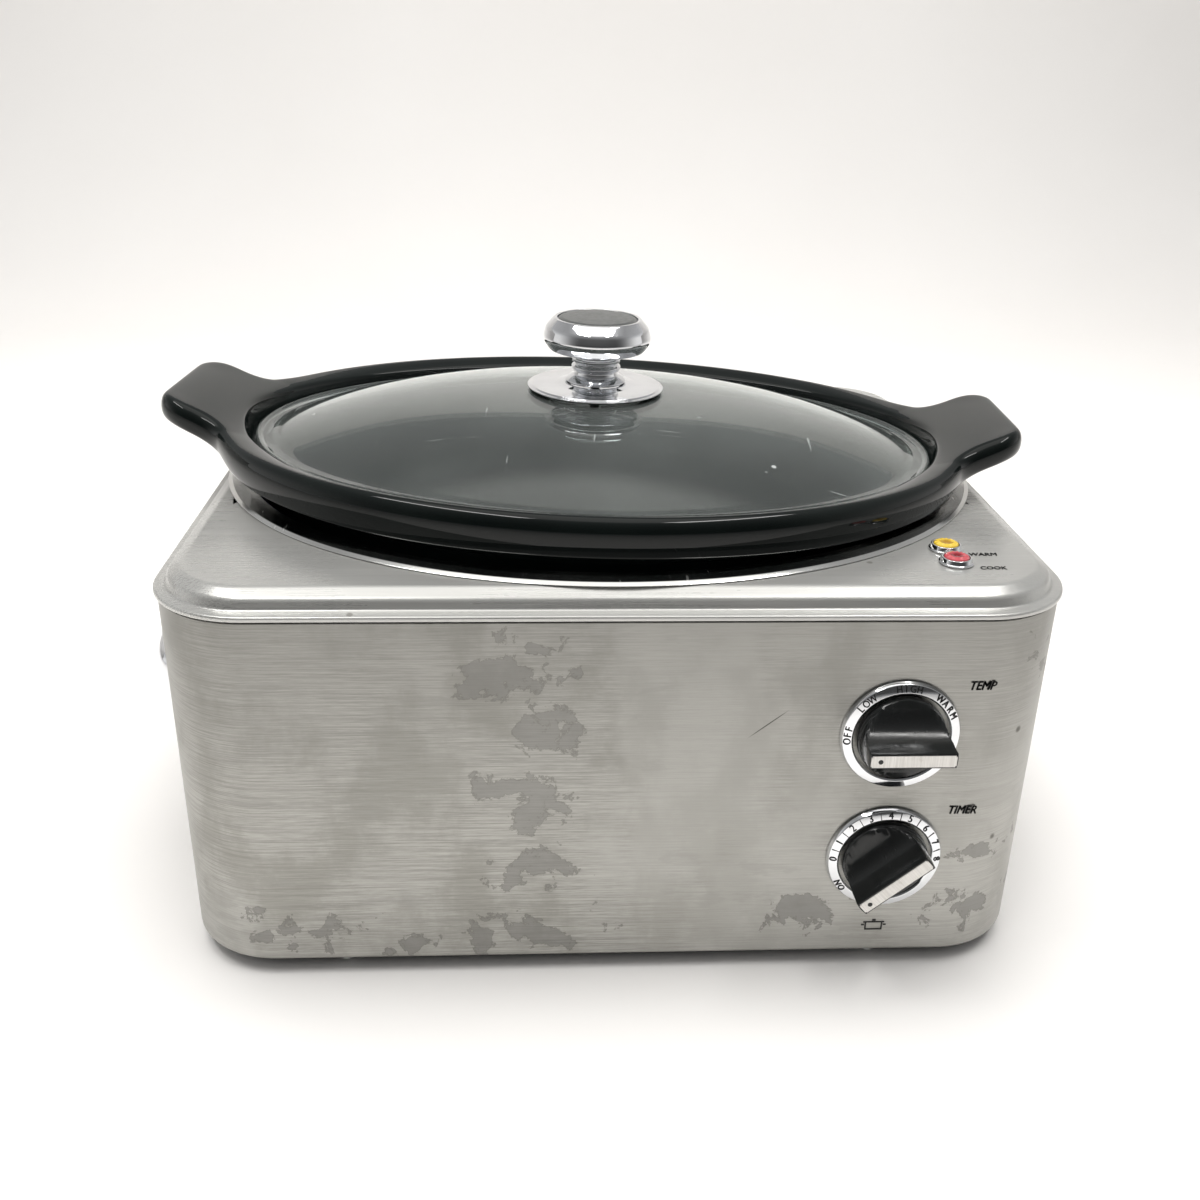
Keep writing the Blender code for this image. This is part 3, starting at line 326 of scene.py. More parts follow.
def wrap_steel():
    """Horizontally brushed steel with blotches, flaked patches down the front, pits, scratches and painted shade
    towards the top.
    """
    n = material("wrap_brushed_steel")
    long_grain = n.noise(n.stretched((22, 22, 1900)), detail=3, rough=0.6)
    short_grain = n.noise(n.stretched((90, 90, 2600)), detail=4, rough=0.7)
    grain = n.plus(n.times(long_grain, 0.5), n.times(short_grain, 0.5))
    blotch = n.noise(n.stretched((1, 1, 0.7)), scale=34, detail=5, rough=0.62)
    smudge = n.noise(n.stretched((1, 1, 0.45)), scale=15, detail=3, rough=0.55)
    broad = n.noise(n.stretched((1, 1, 0.30)), scale=6.5, detail=2)
    dashes = n.noise(n.stretched((0.45, 0.45, 1.7)), scale=60, detail=4, rough=0.6)
    ragged = n.noise(n.place, scale=95, detail=6, rough=0.66, distortion=0.4)
    ragged_wide = n.noise(n.place, scale=38, detail=3, rough=0.5)
    blobs = [n.blob((x, FRONT, z), (wide, 0.03, high)) for x, z, wide, high in WORN_PATCHES]
    field = n.plus(most(n, blobs), n.times(n.minus(ragged, 0.5), 4.2))
    field = n.plus(field, n.times(n.minus(ragged_wide, 0.5), 4.4))
    patch = n.ramp(field, 0.50, 0.56)
    edge = n.times(n.ramp(field, 0.42, 0.52), n.ramp(field, 0.66, 0.54))
    spots = n.voronoi(n.place, 26)
    chance = n.noise(n.place, scale=9.0, detail=1)
    pit = n.times(n.ramp(spots, 0.060, 0.030), n.ramp(chance, 0.53, 0.58))
    colour = n.mix(n.ramp(grain, 0.34, 0.66), (0.262, 0.258, 0.240), (0.480, 0.473, 0.445))
    colour = n.mix(n.ramp(blotch, 0.45, 0.62, (0.0, 0.42)), colour, (0.255, 0.250, 0.222))
    colour = n.mix(n.ramp(smudge, 0.50, 0.62, (0.0, 0.45)), colour, (0.460, 0.455, 0.432))
    colour = n.mix(n.ramp(dashes, 0.58, 0.64, (0.0, 0.35)), colour, (0.300, 0.296, 0.276))
    colour = n.mix(n.ramp(broad, 0.42, 0.64, (0.0, 0.35)), colour, (0.470, 0.462, 0.440))
    # painted shade: the front darkens towards its top edge, where it reflects a dimmer part of the room
    top_shade_share = n.ramp(n.axis(n.place, 2), 0.03, 0.175, smooth=False)
    colour = n.mix(n.times(top_shade_share, 0.50), colour, (0.180, 0.178, 0.168))
    colour = n.mix(n.times(patch, 0.60), colour, (0.215, 0.212, 0.202))
    colour = n.mix(n.times(edge, 0.45), colour, (0.150, 0.145, 0.130))
    colour = n.mix(n.times(pit, 0.80), colour, (0.07, 0.065, 0.055))
    scratch = n.blob((0.0632, FRONT, 0.1279), (0.0121, 0.02, 0.00034), turn=(0, radians(-39.0), 0))
    colour = n.mix(n.ramp(scratch, 0.0, 0.5, (0.0, 0.85)), colour, (0.06, 0.056, 0.05))
    rough = n.plus(n.ramp(grain, 0.3, 0.7, (0.30, 0.42)), n.ramp(blotch, 0.3, 0.7, (0.0, 0.09)))
    rough = n.plus(rough, n.times(patch, 0.06))
    n.set(Base_Color=colour, Roughness=rough, Metallic=1.0, Anisotropic=0.45)
    fine = n.times(grain, n.ramp(patch, 0.0, 1.0, (1.0, 0.45)))
    height = n.minus(fine, n.times(patch, 0.25))
    height = n.minus(height, n.times(pit, 2.0))
    first = n.bump(height, 0.30, 0.00012)
    n.bump(broad, 0.35, 0.0016, below=first)
    return n.owner


def deck_steel():
    """The pressed top: fine brushing along X, faint smears and pits."""
    n = material("deck_satin_steel")
    grain = n.noise(n.stretched((14, 1900, 1900)), detail=3, rough=0.6)
    smear = n.noise(n.place, scale=14, detail=5, rough=0.6)
    broad = n.noise(n.place, scale=5, detail=2)
    spots = n.voronoi(n.place, 34)
    pit = n.times(n.ramp(spots, 0.06, 0.03), n.ramp(n.noise(n.place, scale=12, detail=1), 0.58, 0.63))
    colour = n.mix(n.ramp(grain, 0.3, 0.7), (0.52, 0.52, 0.505), (0.57, 0.57, 0.553))
    colour = n.mix(n.ramp(smear, 0.40, 0.70, (0.0, 0.28)), colour, (0.45, 0.446, 0.428))
    colour = n.mix(n.times(pit, 0.6), colour, (0.16, 0.15, 0.13))
    rough = n.plus(n.ramp(grain, 0.3, 0.7, (0.24, 0.31)), n.ramp(smear, 0.35, 0.7, (0.0, 0.10)))
    n.set(Base_Color=colour, Roughness=rough, Metallic=0.70)
    first = n.bump(grain, 0.05, 0.00006)
    n.bump(broad, 0.25, 0.0012, below=first)
    return n.owner


def bright_metal(name, tint, low, high, scale=30, waves=0.0, scratches=0.25):
    """Chrome or polished steel with finger smears, hairline scratches and a little waviness."""
    n = material(name)
    smear = n.noise(n.place, scale=scale, detail=5, rough=0.6)
    hair = n.noise(n.stretched((260, 22, 90), turn=(0.3, 0.2, 0.7)), detail=3, rough=0.7)
    dark = tuple(v * 0.82 for v in tint)
    n.set(
        Base_Color=n.mix(n.ramp(smear, 0.35, 0.75, (0.0, 0.55)), tint, dark),
        Roughness=n.plus(
            n.ramp(smear, 0.35, 0.75, (low, high)), n.ramp(hair, 0.64, 0.72, (0.0, scratches * 0.4))
        ),
        Metallic=1.0,
    )
    first = n.bump(hair, scratches * 0.25, 0.00008)
    if waves:
        n.bump(n.noise(n.place, scale=scale * 1.4, detail=1), waves, 0.0006, below=first)
    return n.owner


def glaze():
    """Black stoneware glaze with a green cast, slight waviness, fine scratches and a little dust."""
    n = material("black_glaze")
    peel = n.noise(n.place, scale=70, detail=2)
    pool = n.noise(n.place, scale=11, detail=3)
    hair = n.noise(n.stretched((180, 30, 60), turn=(0.2, 0.1, 0.5)), detail=3, rough=0.7)
    dust = n.noise(n.place, scale=700, detail=3, rough=0.7)
    colour = n.mix(n.ramp(pool, 0.35, 0.7), (0.0028, 0.0045, 0.0042), (0.0060, 0.0085, 0.0078))
    colour = n.mix(n.ramp(dust, 0.70, 0.82, (0.0, 0.15)), colour, (0.10, 0.10, 0.095))
    rough = n.plus(n.ramp(pool, 0.3, 0.7, (0.015, 0.05)), n.ramp(hair, 0.66, 0.76, (0.0, 0.10)))
    n.set(Base_Color=colour, Roughness=rough, IOR=1.38)
    first = n.bump(peel, 0.05, 0.0003)
    n.bump(pool, 0.10, 0.0010, below=first)
    return n.owner


def lid_glass():
    """Clear tempered glass, faintly green, with wiped haze, water marks and scratches."""
    n = material("lid_glass")
    haze = n.noise(n.place, scale=9, detail=4, rough=0.6)
    hair = n.noise(n.stretched((420, 22, 22), turn=(0, 0, 1.1)), detail=3, rough=0.6)
    hair_two = n.noise(n.stretched((16, 460, 16), turn=(0, 0, 0.25)), detail=3, rough=0.6)
    marks = n.larger(n.ramp(hair, 0.715, 0.755), n.ramp(hair_two, 0.70, 0.75))
    chance = n.noise(n.place, scale=17, detail=1)
    specks = n.times(n.ramp(n.voronoi(n.place, 60), 0.10, 0.04), n.ramp(chance, 0.56, 0.62))
    marks = n.larger(n.times(marks, 0.5), specks)
    colour = n.mix(n.times(marks, 0.6), (0.72, 0.79, 0.765), (0.8, 0.8, 0.8))
    rough = n.plus(n.ramp(haze, 0.35, 0.75, (0.0, 0.012)), n.times(marks, 0.25))
    cloudy = n.larger(marks, n.ramp(haze, 0.4, 0.8, (0.0, 0.05)))
    clear = n.ramp(cloudy, 0.0, 1.0, (0.965, 0.35), smooth=False)
    n.set(Base_Color=colour, Roughness=rough, IOR=1.50, Transmission_Weight=clear)
    n.bump(n.noise(n.place, scale=6, detail=1), 0.10, 0.002)
    return n.owner


def black_plastic(name, tint=(0.010, 0.011, 0.011), low=0.10, high=0.26):
    """Glossy moulded plastic with scattered dust and fine handling scratches."""
    n = material(name)
    smear = n.noise(n.place, scale=120, detail=4, rough=0.6)
    hair = n.noise(n.stretched((900, 120, 260), turn=(0.4, 0.2, 0.6)), detail=3, rough=0.7)
    dust = n.noise(n.place, scale=900, detail=3, rough=0.75)
    grey = tuple(min(1.0, v * 4 + 0.05) for v in tint)
    n.set(
        Base_Color=n.mix(n.ramp(dust, 0.64, 0.82, (0.0, 0.35)), tint, grey),
        Roughness=n.plus(n.ramp(smear, 0.3, 0.75, (low, high)), n.ramp(hair, 0.62, 0.72, (0.0, 0.14))),
        IOR=1.50,
    )
    n.bump(hair, 0.08, 0.0001)
    return n.owner


def brushed_strip():
    """The satin strip on a control knob, brushed across its length."""
    n = material("satin_strip")
    grain = n.noise(n.stretched((2600, 60, 60)), detail=3, rough=0.65)
    wear = n.noise(n.place, scale=160, detail=4, rough=0.6)
    colour = n.mix(n.ramp(grain, 0.3, 0.7), (0.56, 0.545, 0.52), (0.70, 0.685, 0.66))
    colour = n.mix(n.ramp(wear, 0.58, 0.72, (0.0, 0.5)), colour, (0.42, 0.39, 0.35))
    n.set(Base_Color=colour, Roughness=n.ramp(wear, 0.3, 0.7, (0.30, 0.44)), Metallic=0.85)
    n.bump(grain, 0.25, 0.00008)
    return n.owner


def grained(name, dark, light, rough, scale=60, metallic=0.0, bump=0.2, distance=0.0004, stretch=(1, 1, 1)):
    """A plain procedural finish for hidden and lesser pieces: mottled colour, uneven gloss, fine relief."""
    n = material(name)
    mottle = n.noise(n.stretched(stretch), scale=scale, detail=5, rough=0.6)
    fine = n.noise(n.stretched(stretch), scale=scale * 9, detail=3, rough=0.6)
    n.set(
        Base_Color=n.mix(n.ramp(mottle, 0.32, 0.70), dark, light),
        Roughness=n.ramp(mottle, 0.3, 0.7, (rough * 0.85, min(1.0, rough * 1.15))),
        Metallic=metallic,
    )
    n.bump(fine, bump, distance)
    return n.owner


def lens(name, shaded_middle, bright):
    """A tinted clear lens, darker in the middle: painted shade where the unlit lamp behind it shows through."""
    n = material(name)
    reach = n.length(n.stretched((1, 1, 0)))
    speck = n.noise(n.place, scale=420, detail=3)
    # painted shade: the lens colour darkens towards its middle, with random specks
    shade = n.plus(n.ramp(reach, 0.0008, 0.0042), n.times(n.minus(speck, 0.5), 0.9))
    n.set(
        Base_Color=n.mix(n.ramp(shade, 0.0, 1.0), shaded_middle, bright),
        Roughness=n.ramp(speck, 0.3, 0.7, (0.05, 0.14)),
        IOR=1.49,
        Transmission_Weight=0.25,
        Coat_Weight=0.5,
    )
    n.bump(speck, 0.12, 0.0002)
    return n.owner


def print_ink(name):
    n = material(name)
    patchy = n.noise(n.place, scale=700, detail=4, rough=0.7)
    n.set(
        Base_Color=n.mix(n.ramp(patchy, 0.62, 0.78, (0.0, 0.5)), (0.012, 0.012, 0.012), (0.16, 0.16, 0.155)),
        Roughness=n.ramp(patchy, 0.3, 0.7, (0.38, 0.55)),
    )
    n.bump(patchy, 0.1, 0.0001)
    return n.owner


MATERIALS = {}


def look(name):
    """The named material, made once."""
    if name in MATERIALS:
        return MATERIALS[name]
    makers = {
        "wrap": wrap_steel,
        "deck": deck_steel,
        "chrome": lambda: bright_metal("chrome_plate", (0.84, 0.85, 0.87), 0.035, 0.10, scale=60, waves=0.06),
        "polished": lambda: bright_metal(
            "polished_ring", (0.78, 0.78, 0.76), 0.10, 0.22, scale=22, waves=0.10, scratches=0.5
        ),
        "handle_chrome": lambda: bright_metal("handle_chrome", (0.82, 0.83, 0.85), 0.05, 0.14, scale=26, waves=0.08),
        "glaze": glaze,
        "glass": lid_glass,
        "black": lambda: black_plastic("knob_black_plastic"),
        "cap": lambda: grained(
            "cap_grey", (0.060, 0.063, 0.062), (0.080, 0.083, 0.081), 0.36, scale=420, bump=0.03, distance=0.0001
        ),
        "strip": brushed_strip,
        "ink": lambda: print_ink("black_print"),
        "amber": lambda: lens("amber_lens", (0.42, 0.22, 0.01), (0.86, 0.60, 0.06)),
        "red": lambda: lens("red_lens", (0.20, 0.004, 0.012), (0.62, 0.10, 0.12)),
        "aluminium": lambda: grained(
            "well_aluminium", (0.50, 0.50, 0.485), (0.66, 0.66, 0.645), 0.42, scale=26, metallic=1.0, stretch=(1, 1, 3)
        ),
        "zinc": lambda: grained("zinc_plate", (0.42, 0.43, 0.43), (0.62, 0.63, 0.62), 0.42, scale=90, metallic=1.0),
        "tray": lambda: grained("black_base_paint", (0.016, 0.016, 0.017), (0.030, 0.030, 0.031), 0.55, scale=70),
        "rubber": lambda: grained(
            "black_rubber", (0.018, 0.018, 0.018), (0.040, 0.039, 0.038), 0.78, scale=160, bump=0.35
        ),
        "mica": lambda: grained("mica_sheet", (0.33, 0.26, 0.16), (0.58, 0.50, 0.36), 0.55, scale=45),
        "wool": lambda: grained(
            "glass_wool", (0.62, 0.57, 0.40), (0.85, 0.81, 0.66), 0.95, scale=150, bump=0.8, distance=0.002
        ),
        "ceramic": lambda: grained("white_ceramic", (0.74, 0.73, 0.69), (0.86, 0.85, 0.82), 0.50, scale=110, bump=0.12),
        "moulding": lambda: grained(
            "switch_moulding", (0.60, 0.59, 0.53), (0.74, 0.73, 0.68), 0.52, scale=120, bump=0.12
        ),
    }
    MATERIALS[name] = makers[name]()
    return MATERIALS[name]


def finished(item, look_name, body, slot, *replaced):
    """Paints a piece, hangs it on its body and hides the CAD nodes it stands for."""
    item.data.materials.clear()
    item.data.materials.append(look(look_name))
    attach(item, body)
    if replaced:
        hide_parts(*replaced)


# ---------------------------------------------------------------- casing
def casing():
    place = (0, MIDDLE, 0)
    sheet, flange = 0.0012, 0.0140
    profile = rounded(
        [(0.0, CASE_TOP), (0.0, CASE_TOP * 0.5, 0), (0.0, CASE_BOTTOM, 0.0022), (flange, CASE_BOTTOM),
         (flange, CASE_BOTTOM + sheet), (sheet, CASE_BOTTOM + sheet, 0.0006), (sheet, CASE_TOP)],
        0.0004, 4, closed=True)
    wrap = loft("wrap_smooth", [at_height(case_outline(i), z) for i, z in profile], ring=True, location=place)
    finished(weighted(wrap), "wrap", "housing", "brushed_steel", "housing_wrap")

    lip = CASE_TOP + 0.0010
    outer = rounded(
        [(0.0016, lip - 0.0060), (0.0016, lip, 0.0003), (-0.0014, lip, 0.0006), (-0.0014, lip + 0.0022, 0.0013),
         (0.0034, lip + 0.0030, 0.0016), (0.0050, lip + 0.0074, 0.0042), (0.0105, DECK_TOP, 0.0052),
         (0.0180, DECK_TOP)], 0.001, 7)
    inner = [(0.0180, DECK_TOP - 0.0010), (0.0100, DECK_TOP - 0.0012), (0.0074, DECK_TOP - 0.0026),
             (0.0056, lip + 0.0040), (0.0026, lip + 0.0012), (0.0026, lip - 0.0060)]
    mouth = oval_facing_case(grown(WELL_MOUTH, -0.0018))
    inside = oval_facing_case(grown(WELL_MOUTH, 0.0030))
    loops = [at_height(case_outline(i), z) for i, z in outer]
    loops += [at_height(inside, DECK_TOP), at_height(mouth, DECK_TOP), at_height(mouth, DECK_TOP - 0.0010)]
    loops += [at_height(case_outline(i), z) for i, z in inner]
    deck = loft("deck_smooth", loops, ring=True, sharp=50, location=place)
    finished(weighted(deck), "deck", "housing", "brushed_steel", "top_deck")

    # painted shade: a thin black strip fills the seam under the deck's lip, so the gap shows as a dark shadow line
    rows = ((0.0004, CASE_TOP - 0.0004), (0.0004, lip + 0.0004), (0.0012, lip + 0.0004), (0.0012, CASE_TOP - 0.0004))
    seam_shade = loft("seam_shadow_strip", [at_height(case_outline(i), z) for i, z in rows], ring=True, sharp=50, location=place)
    finished(seam_shade, "rubber", "housing", "black_matt")

    top = DECK_TOP + GAP
    profile = rounded(
        [(0.0062, top, 0.0002), (0.0040, top + 0.0013, 0.0014), (-0.0010, top + 0.0016, 0.002),
         (-0.0062, top + 0.0006, 0.0022), (-0.0064, top - 0.0080, 0.0002), (-0.0054, top - 0.0080, 0.0002),
         (-0.0053, top - 0.0012, 0.0010), (-0.0040, top, 0.0006)],
        0.0004, 6, closed=True)
    loops = []
    for off, z in profile:
        wider = MOUTH_LIP_WIDER if off < 0 else 1.0
        loops.append(at_height(oval((WELL_MOUTH[0] + off, WELL_MOUTH[1] + off * wider)), z))
    ring = loft("mouth_ring_smooth", loops, ring=True, location=place)
    finished(ring, "polished", "housing", "polished_steel", "opening_ring")


def well():
    outer = (((0.1800, 0.1535), 0.1846), ((0.1765, 0.1490), 0.1840), ((0.1762, 0.1486), 0.1770),
             ((0.1728, 0.1360), 0.1540), ((0.1670, 0.1285), 0.0680), ((0.1640, 0.1255), 0.0590),
             ((0.1560, 0.1175), 0.0545))
    sheet = 0.0010
    loops = [at_height(oval(axes), z) for axes, z in outer]
    loops.append(at_height(oval((0.0120, 0.0120)), 0.0545))
    loops.append(at_height(oval((0.0120, 0.0120)), 0.0555))
    for axes, z in reversed(outer[1:]):
        loops.append(at_height(oval(grown(axes, -sheet)), z + sheet * (0.4 if z > 0.0546 else 1.0)))
    loops[-1] = at_height(oval(grown(outer[1][0], -sheet)), 0.1852)
    loops.append(at_height(oval(outer[0][0]), 0.1852))
    item = loft("well_smooth", loops, ring=True, sharp=40, location=(0, MIDDLE, 0))
    finished(item, "aluminium", "housing", "aluminium", "heating_well")


# ---------------------------------------------------------------- crock
def fillet_on_rim():
    """Where the fillet beside an ear meets the oval: the oval's parameter, the fillet's x and the slope there."""
    a, b = RIM
    low, high = 0.0, pi / 2
    for _ in range(60):
        t = (low + high) / 2
        across, along = cos(t) / a, sin(t) / b
        size = sqrt(across * across + along * along)
        if b * sin(t) + EAR_FILLET * along / size < EAR_HALF_WIDTH + EAR_FILLET:
            low = t
        else:
            high = t
    return t, a * cos(t) + EAR_FILLET * across / size, atan2(along, across)


def rim_outline():
    a, b = RIM
    t, fillet_x, normal = fillet_on_rim()
    corner_x, corner_y = EAR_REACH - EAR_CORNER, EAR_HALF_WIDTH - EAR_CORNER
    points = [(EAR_REACH, corner_y * k / 3) for k in range(3)]
    for i in range(8):
        angle = radians(90 * i / 7)
        points.append((corner_x + EAR_CORNER * cos(angle), corner_y + EAR_CORNER * sin(angle)))
    for i in range(8):
        angle = radians(-90) + (normal - pi / 2) * i / 7
        points.append((fillet_x + EAR_FILLET * cos(angle), EAR_HALF_WIDTH + EAR_FILLET + EAR_FILLET * sin(angle)))
    last = len(points) - 1
    quarter = [(x, y, t * i / last) for i, (x, y) in enumerate(points)]
    for i in range(1, 13):
        angle = t + (pi / 2 - t) * i / 12
        quarter.append((a * cos(angle), b * sin(angle), angle))
    upper = quarter + [(-x, y, pi - s) for x, y, s in reversed(quarter[:-1])]
    return upper + [(-x, -y, s + pi) for x, y, s in upper[1:-1]]


def ear_lift(x):
    share = min(max((abs(x) - EAR_LIFT_START) / (EAR_LIFT_END - EAR_LIFT_START), 0.0), 1.0)
    return EAR_LIFT * share * share * (3 - 2 * share)


def crock_matrix(shift=0.0):
    offset, lean, turn = CROCK_POSE
    matrix = Matrix.Translation((offset, MIDDLE, RIM_TOP)) @ Euler((0, lean, turn)).to_matrix().to_4x4()
    return matrix @ Matrix.Translation((shift, 0, 0))


def crock():
    a, b = RIM
    outline = rim_outline()
    flare = [(x, y) for x, y, _ in outline]
    angles = [t for _, _, t in outline]
    count = len(flare)
    normals = []
    for i in range(count):
        px, py = flare[i - 1]
        nx, ny = flare[(i + 1) % count]
        tangent = Vector((nx - px, ny - py)).normalized()
        normals.append((-tangent.y, tangent.x))

    def share(t):
        side = abs(sin(t))
        return side * side * (3 - 2 * side)

    def shrunk(shrink_a, shrink_b, drop, extra=0.0):
        return [((a - shrink_a) * cos(t), (b - shrink_b) * sin(t), -drop - extra * share(t)) for t in angles]

    def between(part, shrink, drop, extra=0.0):
        points = []
        for (x, y), t in zip(flare, angles):
            ix, iy = (a - shrink) * cos(t), (b - shrink) * sin(t)
            px, py = ix + (x - ix) * part, iy + (y - iy) * part
            points.append((px, py, ear_lift(px) - drop - extra * share(t)))
        return points

    def pulled(step, drop, extra=0.0, tuck=0.0):
        points = []
        for (x, y), (nx, ny), t in zip(flare, normals, angles):
            move = step * (1 - tuck * share(t))
            px, py = x + nx * move, y + ny * move
            points.append((px, py, ear_lift(px) - drop - extra * share(t)))
        return points

    depth, foot, extra = RIM_DEPTH, RIM_TOP - CROCK_FOOT, RIM_EXTRA
    inside = (
        (0.1000, 0.0800, foot - 0.0088), (0.0620, 0.0540, foot - 0.0088), (0.0510, 0.0440, foot - 0.0110),
        (0.0430, 0.0370, foot - 0.0190), (0.0390, 0.0335, foot - 0.0400), (0.0330, 0.0290, 0.0500),
        (0.0295, 0.0277, 0.0190), (0.0288, 0.0274, 0.0140), (0.0276, 0.0265, 0.0122),
        (0.0250, 0.0250, 0.0117), (0.0195, 0.0195, 0.0116), (0.0174, 0.0174, 0.0109),
    )
    crest = (
        (0.0, 0.0163, 0.0060), (0.0, 0.0158, 0.0028, 0.0014), (0.0, 0.0150, 0.0011, 0.0024),
        (0.0, 0.0135, 0.0004, 0.0024), (0.25, 0.0135, 0.0, 0.0014), (0.50, 0.0135, 0.0, 0.0005),
    )
    band = (
        (0.0048, 0.0001, 0.0001), (0.0026, 0.0009, 0.0003), (0.0010, 0.0026, 0.0010), (0.0002, 0.0052, 0.0022),
        (0.0, 0.0080, 0.0030), (0.0003, depth - 0.0030, 0.0042), (0.0014, depth - 0.0009, extra, 0.65),
        (0.0032, depth - 0.0001, extra, 0.75), (0.0056, depth + 0.0002, extra, 0.80),
    )
    outside = (
        (0.0120, 0.0015, depth + 0.0012, extra), (0.0190, 0.0024, depth + 0.0024, extra),
        (0.0225, 0.0036, depth + 0.0062, extra), (0.0236, 0.0070, 0.0340), (0.0270, 0.0150, 0.0600),
        (0.0290, 0.0200, 0.0850), (0.0335, 0.0245, foot - 0.0170), (0.0375, 0.0285, foot - 0.0060),
        (0.0430, 0.0340, foot - 0.0008), (0.0470, 0.0380, foot), (0.0620, 0.0520, foot),
    )
    loops = []
    for shape, rows in ((shrunk, inside), (between, crest), (pulled, band), (shrunk, outside)):
        loops += [shape(*row) for row in rows]
    item = loft("crock_smooth", loops)
    item.matrix_world = crock_matrix()
    subdivided(item, 2)
    finished(item, "glaze", "crock", "black_glaze", "crock")


# ---------------------------------------------------------------- lid
LID_KNOB_HEIGHT = 0.0317
LID_KNOB = (            # radius, height above the knob's foot, rounding of the corner
    (0.0026, 0.0), (0.0146, 0.0, 0.0003), (0.0154, 0.0008, 0.0006), (0.0136, 0.0024, 0.0012),
    (0.0112, 0.0036, 0.0010), (0.0106, 0.0056, 0.0008), (0.0120, 0.0062, 0.0006), (0.0123, 0.0078, 0.0008),
    (0.0112, 0.0086, 0.0005), (0.0106, 0.0094, 0.0005), (0.0120, 0.0102, 0.0006), (0.0122, 0.0116, 0.0006),
    (0.0112, 0.0124, 0.0004), (0.0120, 0.0140, 0.0006), (0.0157, 0.0150, 0.0012), (0.0233, 0.0158, 0.0030),
    (0.0271, 0.0212, 0.0050), (0.0255, 0.0270, 0.0050), (0.0215, 0.0315, 0.0030), (0.0200, 0.0315, 0.0004),
    (0.0197, 0.0293, 0.0002), (0.0026, 0.0291),
)
KNOB_CAP = (            # the same, above the knob's top
    (0.0001, -0.0023), (0.0192, -0.0022, 0.0002), (0.0193, -0.0006, 0.0004), (0.0176, 0.0001, 0.0008),
    (0.0080, 0.0003, 0.002), (0.0001, 0.0003),
)


def raised(profile, height):
    return [(radius, height + z, *corner) for radius, z, *corner in profile]


def on_lid(item, look_name, slot, node):
    item.matrix_world = crock_matrix(LID_SHIFT)
    finished(item, look_name, "lid", slot, node)


def lid():
    edge = LID_TOP - RIM_TOP
    a, b = LID_EDGE

    def loop(inset, z):
        return at_height(oval((a - inset, b - inset)), z)

    def height(share):
        return edge - 0.0012 + LID_RISE * (1 - share ** LID_CURVE)

    def dome(share, drop):
        return at_height(oval(((a - 0.0085) * share, (b - 0.0085) * share)), height(share) - drop)

    def seat(radius, drop):
        return at_height(circle(radius, AROUND), height(0.0) - drop)

    shares = [1.0, 0.97, 0.93, 0.88, 0.82, 0.75, 0.67, 0.58, 0.48, 0.38, 0.28, 0.18]
    bead = rounded(
        [(0.0105, edge - 0.0048), (0.0012, edge - 0.0050, 0.0018), (0.0, edge - 0.0024, 0.0020),
         (0.0014, edge + 0.0002, 0.0018), (0.0042, edge - 0.0010, 0.0022), (0.0080, edge - 0.0012)], 0.001, 6)
    loops = [loop(i, z) for i, z in bead]
    loops += [dome(s, 0.0) for s in shares]
    loops += [seat(0.0140, 0.0), seat(LID_HOLE, 0.0), seat(LID_HOLE, LID_GLASS), seat(0.0140, LID_GLASS)]
    loops += [dome(s, LID_GLASS) for s in reversed(shares[1:])]
    on_lid(loft("lid_glass_smooth", loops, ring=True, sharp=60), "glass", "lid_glass", "glass_lid")

    crown = height(0.0)
    disc = crown + GAP
    profile = rounded(
        [(LID_HOLE, disc), (0.0332, disc, 0.0003), (0.0340, disc + 0.0006, 0.0004), (0.0340, disc + 0.0012, 0.0003),
         (0.0326, disc + 0.0013, 0.0003), (0.0322, disc + 0.0019, 0.0004), (0.0200, disc + 0.0023, 0.002),
         (0.0165, disc + 0.0030, 0.0008), (LID_HOLE, disc + 0.0030)], 0.0004, 5)
    on_lid(turned("lid_disc_smooth", profile, 128, ring=True), "chrome", "chrome", "lid_disc")

    foot = disc + 0.0033
    knob = rounded(raised(LID_KNOB, foot), 0.0005, 6)
    on_lid(turned("lid_knob_smooth", knob, 128), "chrome", "chrome", "lid_knob")
    cap = rounded(raised(KNOB_CAP, foot + LID_KNOB_HEIGHT), 0.0005, 5)
    on_lid(turned("knob_cap_smooth", cap), "cap", "grey_cap", "knob_cap")


# ---------------------------------------------------------------- controls
def text_mesh(name, words, size, bold=0.0, shear=0.0, narrow=1.0):
    """Lettering as a thin mesh in the XY plane, its middle at the origin; bold and shear are shares of its size."""
    data = bpy.data.curves.new(name, "FONT")
    data.body = words
    data.size = 1.0
    data.align_x = "CENTER"
    data.align_y = "CENTER"
    data.shear = shear
    data.extrude = 0.012
    data.resolution_u = 4
    temporary = bpy.data.objects.new(name, data)
    bpy.context.collection.objects.link(temporary)
    bpy.context.view_layer.update()
    mesh = bpy.data.meshes.new_from_object(temporary.evaluated_get(bpy.context.evaluated_depsgraph_get()))
    bpy.data.objects.remove(temporary, do_unlink=True)
    bpy.data.curves.remove(data)
    bm = bmesh.new()
    for across, along in ((-bold, 0.0), (bold, 0.0), (0.0, bold * 0.6), (0.0, -bold * 0.6)):
        bm.from_mesh(mesh)
        bm.verts.ensure_lookup_table()
        for vert in bm.verts[-len(mesh.vertices):]:
            vert.co = Vector(((vert.co.x + across) * size * narrow, (vert.co.y + along) * size, vert.co.z * size))
    bm.to_mesh(mesh)
    bm.free()
    mesh.name = name
    return mesh


